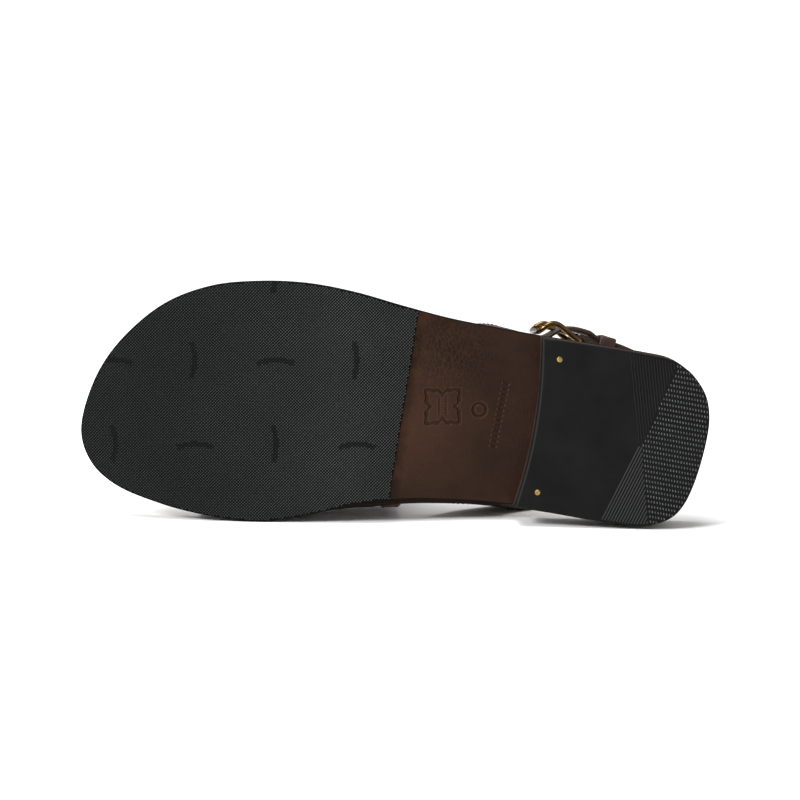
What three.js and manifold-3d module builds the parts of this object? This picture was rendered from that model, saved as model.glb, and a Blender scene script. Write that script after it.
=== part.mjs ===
// A left sandal with a woven leather vamp, a strap round the heel and a side buckle, lying on its inner side.
// The shoe is modelled upright in millimetres: x from the back of the heel to the toe, y to the outer side
// and z up from the ground. The end lays it down on its inner side, toe towards -X and sole towards -Y.
import * as THREE from "three";
import { ConvexHull } from "three/addons/math/ConvexHull.js";
import { mergeVertices } from "three/addons/utils/BufferGeometryUtils.js";
import Module from "manifold-3d";

const { lerp, smoothstep, clamp, degToRad } = THREE.MathUtils;

// Driving dimensions of the sole
const soleLength = 270;
const ballWidth = 103;
const heelHeight = 14;
const topPieceThickness = 7.2;
const halfSoleThickness = 2.5;
const outsoleThickness = 4.5;
const insoleThickness = 4;
const toeSpring = 6;
const seam = 0.3; // clearance between pieces that are glued or sewn together
const edgeBevel = 0.5;
const heelTurn = degToRad(9); // how far the heel's own axis turns from the shoe's x axis
const breastAt = 78.6; // where the chord of the heel's front face crosses the x axis
const breastHollow = 3.2;
const heelInset = 0.3;
const heelTaper = 0.1;
const halfSoleBackAt = 132.5;
const treadStart = 151; // the forefoot is flat on the ground between these two
const treadEnd = 205;
const insoleInset = 1;
const footbedDish = 1;
const nailRadius = 1.3;
const nailLength = 6;
const nailClearance = 0.15;
const nailFromBreast = 9.5;
const nailFromEdge = 8.3;

// Driving dimensions of the woven vamp
const stripThickness = 1.6;
const bandWidth = 9; // the plain strips that finish the vamp's front and back
const gapShare = 0.25; // of the pitch of the strips
const stripCrown = 0.35;
const crossStrips = 8; // with the two bands
const longStrips = 18;
const instepHeight = 70;
const swellHeight = 14; // where the wall stands out furthest over the sole
const wallSwell = 6;
const wallInset = 2; // from the outsole's edge to the middle of the wall, where it leaves the sole

// Driving dimensions of the straps and the buckle
const strapThickness = 2.2;
const strapWidth = 15;
const strapBevel = 0.9;
const ankleHeight = 60;
const ankleInset = 10;
const buckleAt = 0.288; // its middle, as a share of the sole's length along its edge
const buckleLength = 20; // between the middles of its two bars
const buckleWire = 1.3; // radius
const bucklePlay = 0.9; // between the strap's edge and the frame
const buckleArch = 5;
const archLean = 1.7; // moves the arch's peak towards the front bar
const frontBarLift = 1.6;
const eyeWall = 1.7;
const slotWidth = 3.2;
const prongRadius = 0.95;
const keeperWidth = 7;
const keeperThickness = 1.4;
const keeperAt = 12; // from the buckle's back bar
const tailLength = 32; // of the side strap, past the buckle's back bar
const holeRadius = 1.3;
const holePitch = 9;

// Densities in g/cm3, which say how the shoe comes to rest on its side
const density = { leather: 0.95, rubber: 1.15, brass: 8.5 };

// The sole's outline: shares of its length from the heel, and of the ball width to its inner and outer side
const outlineTable = [
  { at: 0.006, inner: 0.063, outer: 0.1505 },
  { at: 0.026, inner: 0.2385, outer: 0.234 },
  { at: 0.045, inner: 0.33, outer: 0.276 },
  { at: 0.064, inner: 0.372, outer: 0.301 },
  { at: 0.102, inner: 0.4, outer: 0.322 },
  { at: 0.179, inner: 0.379, outer: 0.356 },
  { at: 0.256, inner: 0.344, outer: 0.387 },
  { at: 0.332, inner: 0.314, outer: 0.423 },
  { at: 0.409, inner: 0.294, outer: 0.464 },
  { at: 0.486, inner: 0.2845, outer: 0.519 },
  { at: 0.562, inner: 0.305, outer: 0.577 },
  { at: 0.639, inner: 0.351, outer: 0.615 },
  { at: 0.716, inner: 0.3766, outer: 0.623 },
  { at: 0.792, inner: 0.3556, outer: 0.6025 },
  { at: 0.869, inner: 0.3075, outer: 0.523 },
  { at: 0.946, inner: 0.226, outer: 0.343 },
  { at: 0.984, inner: 0.134, outer: 0.1715 },
];
const heelTip = 0.0586; // where the outline's ends lie, as shares of the ball width to the outer side
const toeTip = -0.01;

// The vamp's wall: heights as shares of the instep height, its crest as a share of the width from the inner
// side, its swell over the sole's edge as a share of the wall swell, and how square its two shoulders are
const vampTable = [
  { at: 0.4, height: 1.16, crest: 0.45, innerSwell: 0.9, outerSwell: -0.1, inner: 2.2, outer: 2 },
  { at: 0.5, height: 1, crest: 0.42, innerSwell: 1, outerSwell: -0.15, inner: 2.3, outer: 1.95 },
  { at: 0.6, height: 0.79, crest: 0.4, innerSwell: 0.5, outerSwell: -0.2, inner: 2.4, outer: 1.95 },
  { at: 0.7, height: 0.63, crest: 0.4, innerSwell: -0.18, outerSwell: -0.2, inner: 2.4, outer: 2 },
  { at: 0.8, height: 0.5, crest: 0.42, innerSwell: -0.2, outerSwell: -0.15, inner: 2.4, outer: 2.1 },
  { at: 0.9, height: 0.38, crest: 0.44, innerSwell: -0.1, outerSwell: -0.1, inner: 2.5, outer: 2.2 },
];
// The vamp's front and back edges: shares of the sole's length, at shares of the way over the foot
const vampEdges = [
  { over: 0, front: 0.815, back: 0.487 },
  { over: 0.25, front: 0.815, back: 0.5 },
  { over: 0.5, front: 0.805, back: 0.497 },
  { over: 0.75, front: 0.785, back: 0.49 },
  { over: 1, front: 0.77, back: 0.478 },
];

// The line of the ankle straps: shares of the sole's length along its edge from the back of the heel, less
// than 0 on the inner side, with its height as a share of the ankle height, and shares of the strap's width
const strapTable = [
  { along: -0.645, middle: -0.8, width: 2 },
  { along: -0.53, middle: 0.01, width: 1.75 },
  { along: -0.445, middle: 0.36, width: 1.25 },
  { along: -0.35, middle: 0.62, width: 1.05 },
  { along: -0.2, middle: 0.82, width: 1 },
  { along: 0, middle: 0.92, width: 1 },
  { along: 0.2, middle: 0.86, width: 1 },
  { along: 0.28, middle: 0.82, width: 1 },
  { along: 0.36, middle: 0.73, width: 1 },
  { along: 0.412, middle: 0.5, width: 1.1 },
  { along: 0.477, middle: 0.01, width: 1.5 },
  { along: 0.55, middle: -0.6, width: 1.8 },
];
// How far the ankle straps stand in from the sole's edge, as shares of the ankle inset, at shares of the
// ankle height: at the heel's back, at its two sides, and at the waist on the inner side
const ankleTable = [
  { height: 0, back: 0.2, inner: 0.2, waist: 0.2, outer: 0.2 },
  { height: 0.2, back: 0.3, inner: 0.3, waist: -0.25, outer: 0.25 },
  { height: 0.45, back: 0.6, inner: 0.45, waist: -0.4, outer: 0.35 },
  { height: 0.7, back: 1.2, inner: 0.65, waist: -0.3, outer: 0.18 },
  { height: 1, back: 1.8, inner: 0.97, waist: 0, outer: 0.32 },
];
// Where the heel's back has turned into its inner and outer side and then into the inner waist, as shares of
// the sole's length
const innerReach = 0.2;
const outerReach = 0.24;
const waistReach = 0.45;

// The smooth curve through one column of a table, read at a value of the column that its rows are ordered by
function read(table, order, column, value) {
  const last = table.length - 1;
  if (value <= table[0][order]) return table[0][column];
  if (value >= table[last][order]) return table[last][column];
  const i = table.findIndex((row) => row[order] > value) - 1;
  const slope = (k) => {
    const before = table[Math.max(k - 1, 0)];
    const after = table[Math.min(k + 1, last)];
    return (after[column] - before[column]) / (after[order] - before[order]);
  };
  const span = table[i + 1][order] - table[i][order];
  const t = (value - table[i][order]) / span;
  const ease = t * t * (3 - 2 * t);
  return (
    lerp(table[i][column], table[i + 1][column], ease) +
    span * t * (1 - t) * ((1 - t) * slope(i) - t * slope(i + 1))
  );
}

// Six times the volume of a triangle mesh, and its centroid times the same
function momentOf(geometry) {
  const p = geometry.getAttribute("position");
  const index = geometry.index.array;
  const [a, b, c] = [new THREE.Vector3(), new THREE.Vector3(), new THREE.Vector3()];
  const moment = new THREE.Vector3();
  let volume = 0;
  for (let i = 0; i < index.length; i += 3) {
    a.fromBufferAttribute(p, index[i]);
    b.fromBufferAttribute(p, index[i + 1]);
    c.fromBufferAttribute(p, index[i + 2]);
    const part = a.dot(new THREE.Vector3().crossVectors(b, c));
    volume += part;
    moment.addScaledVector(a.add(b).add(c), part / 4);
  }
  return { volume, moment };
}

// A geometry from points and triangles, with its faces turned outwards
function shell(points, triangles) {
  const geometry = new THREE.BufferGeometry().setFromPoints(points);
  geometry.setIndex(triangles.flat());
  if (momentOf(geometry).volume < 0) {
    geometry.setIndex(triangles.map(([a, b, c]) => [a, c, b]).flat());
  }
  return geometry;
}

// The faces that close a ring, turned the same way round as its own points or the other way
function capFaces(ring, sameWay) {
  const normal = new THREE.Vector3();
  ring.forEach((point, i) => {
    normal.add(new THREE.Vector3().crossVectors(point, ring[(i + 1) % ring.length]));
  });
  const turn = new THREE.Quaternion().setFromUnitVectors(normal.normalize(), new THREE.Vector3(0, 0, 1));
  const contour = ring.map((point) => {
    const { x, y } = point.clone().applyQuaternion(turn);
    return new THREE.Vector2(x, y);
  });
  const clockwise = (points) => THREE.ShapeUtils.isClockWise(points);
  return THREE.ShapeUtils.triangulateShape(contour, []).map((face) => {
    const own = clockwise(face.map((k) => contour[k])) === clockwise(contour);
    return own === sameWay ? face : [face[0], face[2], face[1]];
  });
}

// A closed solid through rings of as many points each, with its two ends closed or, in a loop, joined
function loft(rings, loop = false) {
  const count = rings[0].length;
  const triangles = [];
  const steps = loop ? rings.length : rings.length - 1;
  for (let i = 0; i < steps; i++) {
    const here = i * count;
    const next = ((i + 1) % rings.length) * count;
    for (let k = 0; k < count; k++) {
      const turn = (k + 1) % count;
      triangles.push([here + k, here + turn, next + turn], [here + k, next + turn, next + k]);
    }
  }
  if (!loop) {
    const last = steps * count;
    capFaces(rings[0], false).forEach((face) => triangles.push(face));
    capFaces(rings[steps], true).forEach((face) => triangles.push(face.map((k) => last + k)));
  }
  return shell(rings.flat(), triangles);
}

// Joining and cutting
const wasm = await Module();
wasm.setup();

function toSolid(geometry) {
  const bare = new THREE.BufferGeometry();
  bare.setAttribute("position", geometry.getAttribute("position").clone());
  if (geometry.index) bare.setIndex(geometry.index.clone());
  const merged = mergeVertices(bare, 1e-4);
  const mesh = new wasm.Mesh({
    numProp: 3,
    vertProperties: new Float32Array(merged.getAttribute("position").array),
    triVerts: new Uint32Array(merged.index.array),
  });
  return new wasm.Manifold(mesh);
}

function toGeometry(solid) {
  const mesh = solid.getMesh();
  const geometry = new THREE.BufferGeometry();
  geometry.setAttribute("position", new THREE.BufferAttribute(new Float32Array(mesh.vertProperties), 3));
  geometry.setIndex(new THREE.BufferAttribute(new Uint32Array(mesh.triVerts), 1));
  return geometry;
}

function cut(geometry, ...tools) {
  return toGeometry(tools.reduce((solid, tool) => solid.subtract(toSolid(tool)), toSolid(geometry)));
}

function join(geometry, ...others) {
  return toGeometry(others.reduce((solid, other) => solid.add(toSolid(other)), toSolid(geometry)));
}

// The sole's outline as a closed curve: from the heel's tip up the outer side to the toe, and back down the
// inner side
const outlineCurve = new THREE.CatmullRomCurve3(
  [
    new THREE.Vector3(0, heelTip * ballWidth, 0),
    ...outlineTable.map((row) => new THREE.Vector3(row.at * soleLength, row.outer * ballWidth, 0)),
    new THREE.Vector3(soleLength, toeTip * ballWidth, 0),
    ...outlineTable
      .map((row) => new THREE.Vector3(row.at * soleLength, -row.inner * ballWidth, 0))
      .reverse(),
  ],
  true,
  "centripetal",
);
const outlineSamples = 320;
const outline = Array.from({ length: outlineSamples }, (_, i) => {
  const point = outlineCurve.getPoint(i / outlineSamples);
  const tangent = outlineCurve.getTangent(i / outlineSamples);
  return { point, inward: new THREE.Vector3(tangent.y, -tangent.x, 0) };
});

// The outline moved inwards, as its outer and inner sides from heel to toe. The inset is a length, or a
// function of x.
function sidesOf(inset) {
  const moved = outline.map(({ point, inward }) =>
    point.clone().addScaledVector(inward, typeof inset === "function" ? inset(point.x) : inset),
  );
  const xs = moved.map((p) => p.x);
  const toe = xs.indexOf(Math.max(...xs));
  const heel = xs.indexOf(Math.min(...xs));
  const round = [...moved.slice(heel), ...moved.slice(0, heel)];
  const turn = (toe - heel + moved.length) % moved.length;
  return { outer: round.slice(0, turn + 1), inner: [...round.slice(turn), round[0]].reverse() };
}

// The y of a side at a given x
function sideAt(side, x) {
  const i = clamp(
    side.findIndex((p) => p.x >= x),
    1,
    side.length - 1,
  );
  const [a, b] = [side[i - 1], side[i]];
  return lerp(a.y, b.y, clamp((x - a.x) / (b.x - a.x), 0, 1));
}

// The underside of the leather outsole: the heel's seat, the waist, the flat tread and the toe spring. Its
// stations lie closest together at its two ends, and every layer is straight between them.
const soleSteps = 36;
const stations = Array.from({ length: soleSteps + 1 }, (_, i) => {
  return (soleLength * (1 - Math.cos((Math.PI * i) / soleSteps))) / 2;
});
const waistStart = breastAt + 2 * breastHollow;
function curvedBottom(x) {
  const rise = (heelHeight - halfSoleThickness) * (1 - smoothstep(x, waistStart, treadStart));
  const spring = toeSpring * Math.max(0, (x - treadEnd) / (soleLength - treadEnd)) ** 2;
  return halfSoleThickness + rise + spring;
}
function outsoleBottom(x) {
  const i = clamp(
    stations.findIndex((station) => station >= x),
    1,
    soleSteps,
  );
  const [a, b] = [stations[i - 1], stations[i]];
  return lerp(curvedBottom(a), curvedBottom(b), (x - a) / (b - a));
}
const outsoleTop = (x) => outsoleBottom(x) + outsoleThickness;
const insoleTop = (x) => outsoleTop(x) + seam + insoleThickness;

// The insole stands further in where the vamp and the roots of the straps leave the sole
const rootsStart = 86;
const rootsEnd = 222;
const rootsBlend = 12;
const rootsInset = wallInset + stripThickness + 3 * seam;
function insoleEdge(x) {
  const begun = smoothstep(x, rootsStart - rootsBlend, rootsStart);
  const ended = smoothstep(x, rootsEnd, rootsEnd + rootsBlend);
  return lerp(insoleInset, rootsInset, begun * (1 - ended));
}

// One layer of the sole between two heights, with bevelled edges and, if dished, a lower middle
function soleLayer({ inset, bottom, top, from = 0, to = soleLength, dish = 0 }) {
  const sides = sidesOf(inset);
  const tip = 0.05;
  const start = Math.max(from, sides.outer[0].x + tip);
  const end = Math.min(to, sides.outer.at(-1).x - tip);
  const between = stations.filter((x) => x > start + edgeBevel && x < end - edgeBevel);
  const rings = [start, ...between, end].map((x) => {
    const [low, high] = [sideAt(sides.inner, x), sideAt(sides.outer, x)];
    const bevel = Math.min(edgeBevel, (high - low) / 4);
    const [floor, roof] = [bottom(x), top(x)];
    const dip = dish * smoothstep(high - low, 0, ballWidth / 2);
    const section = [
      [low + bevel, floor],
      [high - bevel, floor],
      [high, floor + bevel],
      [high, roof - bevel],
      [high - bevel, roof],
      [(low + high) / 2, roof - dip],
      [low + bevel, roof],
      [low, roof - bevel],
      [low, floor + bevel],
    ];
    return section.map(([y, z]) => new THREE.Vector3(x, y, z));
  });
  return loft(rings);
}

// The heel's ring at one height: round its back and along its hollow front face
const heelBackSteps = 20;
const breastSteps = 8;
const breastLine = (y) => breastAt - y * Math.tan(heelTurn);

function heelRing(inset, z) {
  const sides = sidesOf(inset);
  const upToBreast = (side) => {
    const i = side.findIndex((p) => p.x > breastLine(p.y));
    const [a, b] = [side[i - 1], side[i]];
    const end = a.clone().lerp(b, (breastLine(a.y) - a.x) / (b.x - a.x));
    return new THREE.CatmullRomCurve3([...side.slice(0, i), end]).getSpacedPoints(heelBackSteps);
  };
  const outer = upToBreast(sides.outer);
  const inner = upToBreast(sides.inner);
  const [a, b] = [outer.at(-1), inner.at(-1)];
  const backwards = new THREE.Vector3(b.y - a.y, a.x - b.x, 0).normalize();
  const breast = Array.from({ length: breastSteps - 1 }, (_, i) => {
    const share = (i + 1) / breastSteps;
    const hollow = 4 * share * (1 - share) * breastHollow;
    return a.clone().lerp(b, share).addScaledVector(backwards, hollow);
  });
  return [...outer, ...breast, ...inner.slice(1).reverse()].map((p) => p.clone().setZ(z));
}

// The two nails that hold the rubber top piece, near the corners of its front edge
const nailPlaces = ["outer", "inner"].map((name) => {
  return sidesOf(nailFromEdge)[name].find((p) => p.x > breastLine(p.y) - nailFromBreast);
});
const nailSink = 0.1;
function nailGeometry(place, radius, bottom, top) {
  return new THREE.CylinderGeometry(radius, radius, top - bottom, 12)
    .rotateX(Math.PI / 2)
    .translate(place.x, place.y, (top + bottom) / 2);
}

// The pieces of the sole
const heelBase = loft([
  heelRing(heelInset, topPieceThickness + seam),
  heelRing(heelInset - heelTaper, heelHeight - seam),
]);
const heelTopPiece = cut(
  loft([
    heelRing(heelInset + heelTaper + edgeBevel, 0),
    heelRing(heelInset + heelTaper, edgeBevel),
    heelRing(heelInset, topPieceThickness),
  ]),
  ...nailPlaces.map((place) => {
    const roof = nailSink + nailLength + nailClearance;
    return nailGeometry(place, nailRadius + nailClearance, -nailLength, roof);
  }),
);
const nails = nailPlaces.map((place) => nailGeometry(place, nailRadius, nailSink, nailSink + nailLength));
const outsole = soleLayer({ inset: 0, bottom: outsoleBottom, top: outsoleTop });
const insole = soleLayer({
  inset: insoleEdge,
  bottom: (x) => outsoleTop(x) + seam,
  top: insoleTop,
  dish: footbedDish,
});
const behindHalfSole = new THREE.BoxGeometry(soleLength, soleLength, soleLength)
  .translate(-soleLength / 2, 0, 0)
  .rotateZ(heelTurn)
  .translate(halfSoleBackAt, 0, 0);
const halfSole = cut(
  soleLayer({
    inset: 0,
    bottom: (x) => outsoleBottom(x) - halfSoleThickness,
    top: (x) => outsoleBottom(x) - seam,
    from: halfSoleBackAt - ballWidth * Math.tan(heelTurn),
  }),
  behindHalfSole,
);

// Lengths along a line of points, and the point at a share of its whole length
function lengthsOf(points) {
  const lengths = [0];
  for (let i = 1; i < points.length; i++) lengths.push(lengths[i - 1] + points[i].distanceTo(points[i - 1]));
  return lengths;
}

function pointAt(points, lengths, wanted) {
  const i = clamp(
    lengths.findIndex((length) => length >= wanted),
    1,
    points.length - 1,
  );
  const share = (wanted - lengths[i - 1]) / (lengths[i] - lengths[i - 1]);
  return points[i - 1].clone().lerp(points[i], share);
}

// What lies under the floor that the vamp and the straps stand on, cut off from them
const footCut = 1;
const underFloor = soleLayer({
  inset: -3 * wallSwell,
  bottom: () => -2 * ankleHeight,
  top: (x) => outsoleTop(x) + seam,
});

// The middle of the vamp's wall at x, from the wall's foot on the inner side to the one on the outer side
const wallSides = sidesOf(wallInset);
const footSteps = 4;
const shoulderSteps = 14;
function vampSection(x) {
  const form = (column) => read(vampTable, "at", column, x / soleLength);
  const [inner, outer] = [sideAt(wallSides.inner, x), sideAt(wallSides.outer, x)];
  const base = outsoleTop(x) + seam - footCut;
  const crestY = lerp(inner, outer, form("crest"));
  const rise = instepHeight * form("height") - swellHeight;
  const half = (footY, swell, square) => {
    const widestY = footY + swell;
    const foot = Array.from({ length: footSteps }, (_, i) => {
      const t = i / footSteps;
      return new THREE.Vector3(x, widestY - swell * (1 - t) ** 2, base + swellHeight * t);
    });
    const shoulder = Array.from({ length: shoulderSteps + 1 }, (_, i) => {
      const angle = (Math.PI / 2) * (i / shoulderSteps);
      const [out, up] = [Math.cos(angle), Math.sin(angle)].map((value) => Math.max(value, 0) ** (2 / square));
      return new THREE.Vector3(x, lerp(crestY, widestY, out), base + swellHeight + rise * up);
    });
    return [...foot, ...shoulder];
  };
  const near = half(inner, -wallSwell * form("innerSwell"), form("inner"));
  const far = half(outer, wallSwell * form("outerSwell"), form("outer"));
  return [...near, ...far.slice(0, -1).reverse()];
}

// A point of that surface: over the foot from 0 on the inner side to 1, and back from 0 at the front to 1
function vampX(over, back) {
  const [front, rear] = ["front", "back"].map((column) => read(vampEdges, "over", column, over));
  return soleLength * lerp(front, rear, back);
}

function vampPoint(over, back) {
  const section = vampSection(vampX(over, back));
  const lengths = lengthsOf(section);
  return pointAt(section, lengths, over * lengths.at(-1));
}

function vampNormal(over, back) {
  const step = 0.01;
  const across = vampPoint(Math.min(over + step, 1), back).sub(vampPoint(Math.max(over - step, 0), back));
  const along = vampPoint(over, back + step).sub(vampPoint(over, back - step));
  return along.cross(across).normalize();
}

// The weave is a grid of the strips' edges and the long strips' middles. At each place it has an upper face,
// a lower face and one between the two layers of leather. Strips climb or drop a layer between crossings.
const [UPPER, MIDDLE, LOWER] = [0, 1, 2];
const endMargin = 0.95; // of the pitch, from the sole to the middle of the lowest long strip
const longPitch = 1 / (longStrips - 1 + 2 * endMargin);
const longSides = [-1, 0, 1];
const columns = [
  { over: 0 },
  ...Array.from({ length: longStrips }, (_, strip) => {
    const middle = (strip + endMargin) * longPitch;
    return longSides.map((side) => ({ strip, side, over: middle + (side * longPitch * (1 - gapShare)) / 2 }));
  }).flat(),
  { over: 1 },
];
const rows = Array.from({ length: crossStrips }, (_, strip) => {
  const band = strip === 0 || strip === crossStrips - 1;
  return [-1, 1].map((side) => ({ strip, side, band }));
}).flat();

function rowBack(row, over) {
  const steps = 8;
  const run = lengthsOf(Array.from({ length: steps + 1 }, (_, i) => vampPoint(over, i / steps))).at(-1);
  const pitch = (run - bandWidth) / (crossStrips - 1);
  const width = row.band ? bandWidth : pitch * (1 - gapShare);
  return (bandWidth / 2 + row.strip * pitch + (row.side * width) / 2) / run;
}
const crossIsOver = (row, column) => (row.strip + column.strip) % 2 === 0;

// How high a layer stands over the middle surface
function layerHeight(column, row, layer) {
  if (column.strip === undefined) return ((MIDDLE - layer) * stripThickness) / 2;
  const crowned = column.side === 0 ? stripCrown : 0;
  if (layer === MIDDLE) return crossIsOver(row, column) && !row.band ? crowned : 0;
  const longOutermost = row.band || crossIsOver(row, column) === (layer === LOWER);
  return (MIDDLE - layer) * (stripThickness + (longOutermost ? crowned : 0));
}

function wovenVamp() {
  const points = columns.flatMap((column) => {
    return rows.flatMap((row) => {
      const back = rowBack(row, column.over);
      const place = vampPoint(column.over, back);
      const normal = vampNormal(column.over, back);
      return [UPPER, MIDDLE, LOWER].map((layer) => {
        return place.clone().addScaledVector(normal, layerHeight(column, row, layer));
      });
    });
  });
  const point = (i, j, layer) => (i * rows.length + j) * 3 + layer;
  const kindOf = (i, j) => {
    if (i < 0 || j < 0 || i > columns.length - 2 || j > rows.length - 2) return "none";
    const besideLong = i % longSides.length === 0;
    if (j % 2 === 0) return rows[j].band || !besideLong ? "both" : "cross";
    return besideLong ? "none" : "long";
  };
  // The upper and lower faces of a cell of that kind at one of its corners
  const facesAt = (kind, [i, j]) => {
    if (kind === "both" || columns[i].strip === undefined) return [UPPER, LOWER];
    return crossIsOver(rows[j], columns[i]) === (kind === "cross") ? [UPPER, MIDDLE] : [MIDDLE, LOWER];
  };
  const triangles = [];
  const quad = (a, b, c, d) => triangles.push([a, b, c], [a, c, d]);
  const wall = (p, q, [topP, lowP], [topQ, lowQ]) => {
    quad(point(...p, topP), point(...p, lowP), point(...q, lowQ), point(...q, topQ));
  };
  for (let i = 0; i < columns.length - 1; i++) {
    for (let j = 0; j < rows.length - 1; j++) {
      const kind = kindOf(i, j);
      if (kind === "none") continue;
      const corners = [
        [i, j],
        [i + 1, j],
        [i + 1, j + 1],
        [i, j + 1],
      ];
      quad(...corners.map((corner) => point(...corner, facesAt(kind, corner)[0])));
      quad(...corners.map((corner) => point(...corner, facesAt(kind, corner)[1])).reverse());
      const around = [
        [i, j - 1],
        [i + 1, j],
        [i, j + 1],
        [i - 1, j],
      ];
      around.forEach((neighbour, k) => {
        const other = kindOf(...neighbour);
        const [p, q] = [corners[k], corners[(k + 1) % corners.length]];
        if (kind === other) return;
        if (kind !== "both") {
          if (other === "none") wall(p, q, facesAt(kind, p), facesAt(kind, q));
          return;
        }
        const [high, low] = other === "none" ? [MIDDLE, MIDDLE] : facesAt(other, p);
        if (high === MIDDLE) wall(p, q, [UPPER, MIDDLE], [UPPER, MIDDLE]);
        if (low === MIDDLE) wall(p, q, [MIDDLE, LOWER], [MIDDLE, LOWER]);
      });
    }
  }
  return cut(shell(points, triangles), underFloor);
}

// The ankle straps lie on a surface that rises from the sole's edge. A place on it has a length along the
// edge from the back of the heel, more than 0 on the outer side, and a height over the outsole.
const edge = sidesOf(0);
const edgeLengths = { outer: lengthsOf(edge.outer), inner: lengthsOf(edge.inner) };
function edgePoint(along) {
  const side = along >= 0 ? "outer" : "inner";
  return pointAt(edge[side], edgeLengths[side], Math.abs(along));
}

function edgeInward(along) {
  const reach = 4;
  const ahead = edgePoint(along + reach);
  const behind = edgePoint(along - reach);
  return new THREE.Vector3(ahead.y - behind.y, behind.x - ahead.x, 0).normalize();
}

function anklePoint(along, height) {
  const form = (column) => read(ankleTable, "height", column, height / ankleHeight);
  const share = Math.abs(along) / soleLength;
  const inner = lerp(form("inner"), form("waist"), smoothstep(share, innerReach, waistReach));
  const [side, reach] = along >= 0 ? [form("outer"), outerReach] : [inner, innerReach];
  const inset = lerp(form("back"), side, smoothstep(share, 0, reach)) * ankleInset;
  const place = edgePoint(along).addScaledVector(edgeInward(along), inset);
  return place.setZ(outsoleTop(place.x) + height);
}

// A place on a strap: along its line, across it and out from its middle surface
const strapForm = (along, column) => read(strapTable, "along", column, along / soleLength);
function strapPlace(along, across, out) {
  const step = 1;
  const middleAt = (a) => strapForm(a, "middle") * ankleHeight;
  const slope = Math.atan((middleAt(along + step) - middleAt(along - step)) / (2 * step));
  const a = along - across * Math.sin(slope);
  const h = middleAt(along) + across * Math.cos(slope);
  const forward = anklePoint(a + step, h).sub(anklePoint(a - step, h));
  const upward = anklePoint(a, h + step).sub(anklePoint(a, h - step));
  return anklePoint(a, h).addScaledVector(upward.cross(forward).normalize(), out);
}

// A strap between two places on its line. Its lift says how far its middle surface lies outside the ankle's.
function strapGeometry({ from, to, steps, width, lift = () => 0 }) {
  const rings = Array.from({ length: steps + 1 }, (_, i) => {
    const along = lerp(from, to, i / steps);
    const half = width(along) / 2;
    const thick = strapThickness / 2;
    const bevel = Math.min(strapBevel, half / 3);
    const corners = [
      [-half, -thick / 2],
      [-half + bevel, -thick],
      [half - bevel, -thick],
      [half, -thick / 2],
      [half, thick / 2],
      [half - bevel, thick],
      [-half + bevel, thick],
      [-half, thick / 2],
    ];
    return corners.map(([across, out]) => strapPlace(along, across, lift(along) + out));
  });
  return loft(rings);
}

// A round wire along a path, closed into a loop or open with flat ends
function wireGeometry(path, radius, loop) {
  const sides = 8;
  const rings = path.map((point, i) => {
    const last = path.length - 1;
    const before = path[i > 0 ? i - 1 : loop ? last : 0];
    const after = path[i < last ? i + 1 : loop ? 0 : last];
    const forward = after.clone().sub(before).normalize();
    const sideways = new THREE.Vector3().crossVectors(forward, buckle.out);
    if (sideways.length() < 0.1) sideways.crossVectors(forward, buckle.forward);
    sideways.normalize();
    const upward = new THREE.Vector3().crossVectors(sideways, forward).normalize();
    return Array.from({ length: sides }, (_, k) => {
      const angle = (2 * Math.PI * (k + 0.5)) / sides;
      return point
        .clone()
        .addScaledVector(sideways, radius * Math.cos(angle))
        .addScaledVector(upward, radius * Math.sin(angle));
    });
  });
  return loft(rings, loop);
}

// The buckle's own frame: its middle, and the ways forward, across and out
const buckleMiddle = buckleAt * soleLength;
const buckle = { middle: strapPlace(buckleMiddle, 0, 0) };
buckle.forward = strapPlace(buckleMiddle + buckleLength / 2, 0, 0)
  .sub(strapPlace(buckleMiddle - buckleLength / 2, 0, 0))
  .normalize();
buckle.across = strapPlace(buckleMiddle, strapWidth / 2, 0)
  .sub(strapPlace(buckleMiddle, -strapWidth / 2, 0))
  .normalize();
buckle.out = new THREE.Vector3().crossVectors(buckle.across, buckle.forward).normalize();
buckle.across.crossVectors(buckle.forward, buckle.out);
function bucklePlace(forward, across, out) {
  return buckle.middle
    .clone()
    .addScaledVector(buckle.forward, forward)
    .addScaledVector(buckle.across, across)
    .addScaledVector(buckle.out, out);
}
const backBar = -buckleLength / 2;
const frontBar = buckleLength / 2;
const alongBack = buckleMiddle + backBar;

// The buckle's frame: two straight bars joined by arched sides
const frameHalf = strapWidth / 2 + bucklePlay + buckleWire;
const frameCorner = 3;
const railSteps = 8;
const cornerSteps = 3;
function frameOut(forward) {
  const share = (forward - backBar) / buckleLength;
  return frontBarLift * share + buckleArch * Math.sin(Math.PI * clamp(share, 0, 1) ** archLean);
}
const framePath = [1, -1].flatMap((hand) => {
  const corner = (middle, turn) =>
    Array.from({ length: cornerSteps + 1 }, (_, i) => {
      const angle = turn + ((Math.PI / 2) * i) / cornerSteps;
      return {
        forward: middle + frameCorner * Math.cos(angle),
        across: frameHalf - frameCorner + frameCorner * Math.sin(angle),
      };
    });
  const rail = Array.from({ length: railSteps - 1 }, (_, i) => {
    const forward = lerp(frontBar - frameCorner, backBar + frameCorner, (i + 1) / railSteps);
    return { forward, across: frameHalf };
  });
  const side = [...corner(frontBar - frameCorner, 0), ...rail, ...corner(backBar + frameCorner, Math.PI / 2)];
  const turned = hand > 0 ? side : side.toReversed();
  return turned.map(({ forward, across }) => bucklePlace(forward, hand * across, frameOut(forward)));
});
const buckleFrame = wireGeometry(framePath, buckleWire, true);

// A cylinder round the buckle's back bar
function barCylinder(radius, width) {
  const turn = new THREE.Quaternion().setFromUnitVectors(new THREE.Vector3(0, 1, 0), buckle.across);
  const middle = bucklePlace(backBar, 0, 0);
  return new THREE.CylinderGeometry(radius, radius, width, 20)
    .applyQuaternion(turn)
    .translate(middle.x, middle.y, middle.z);
}

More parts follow.
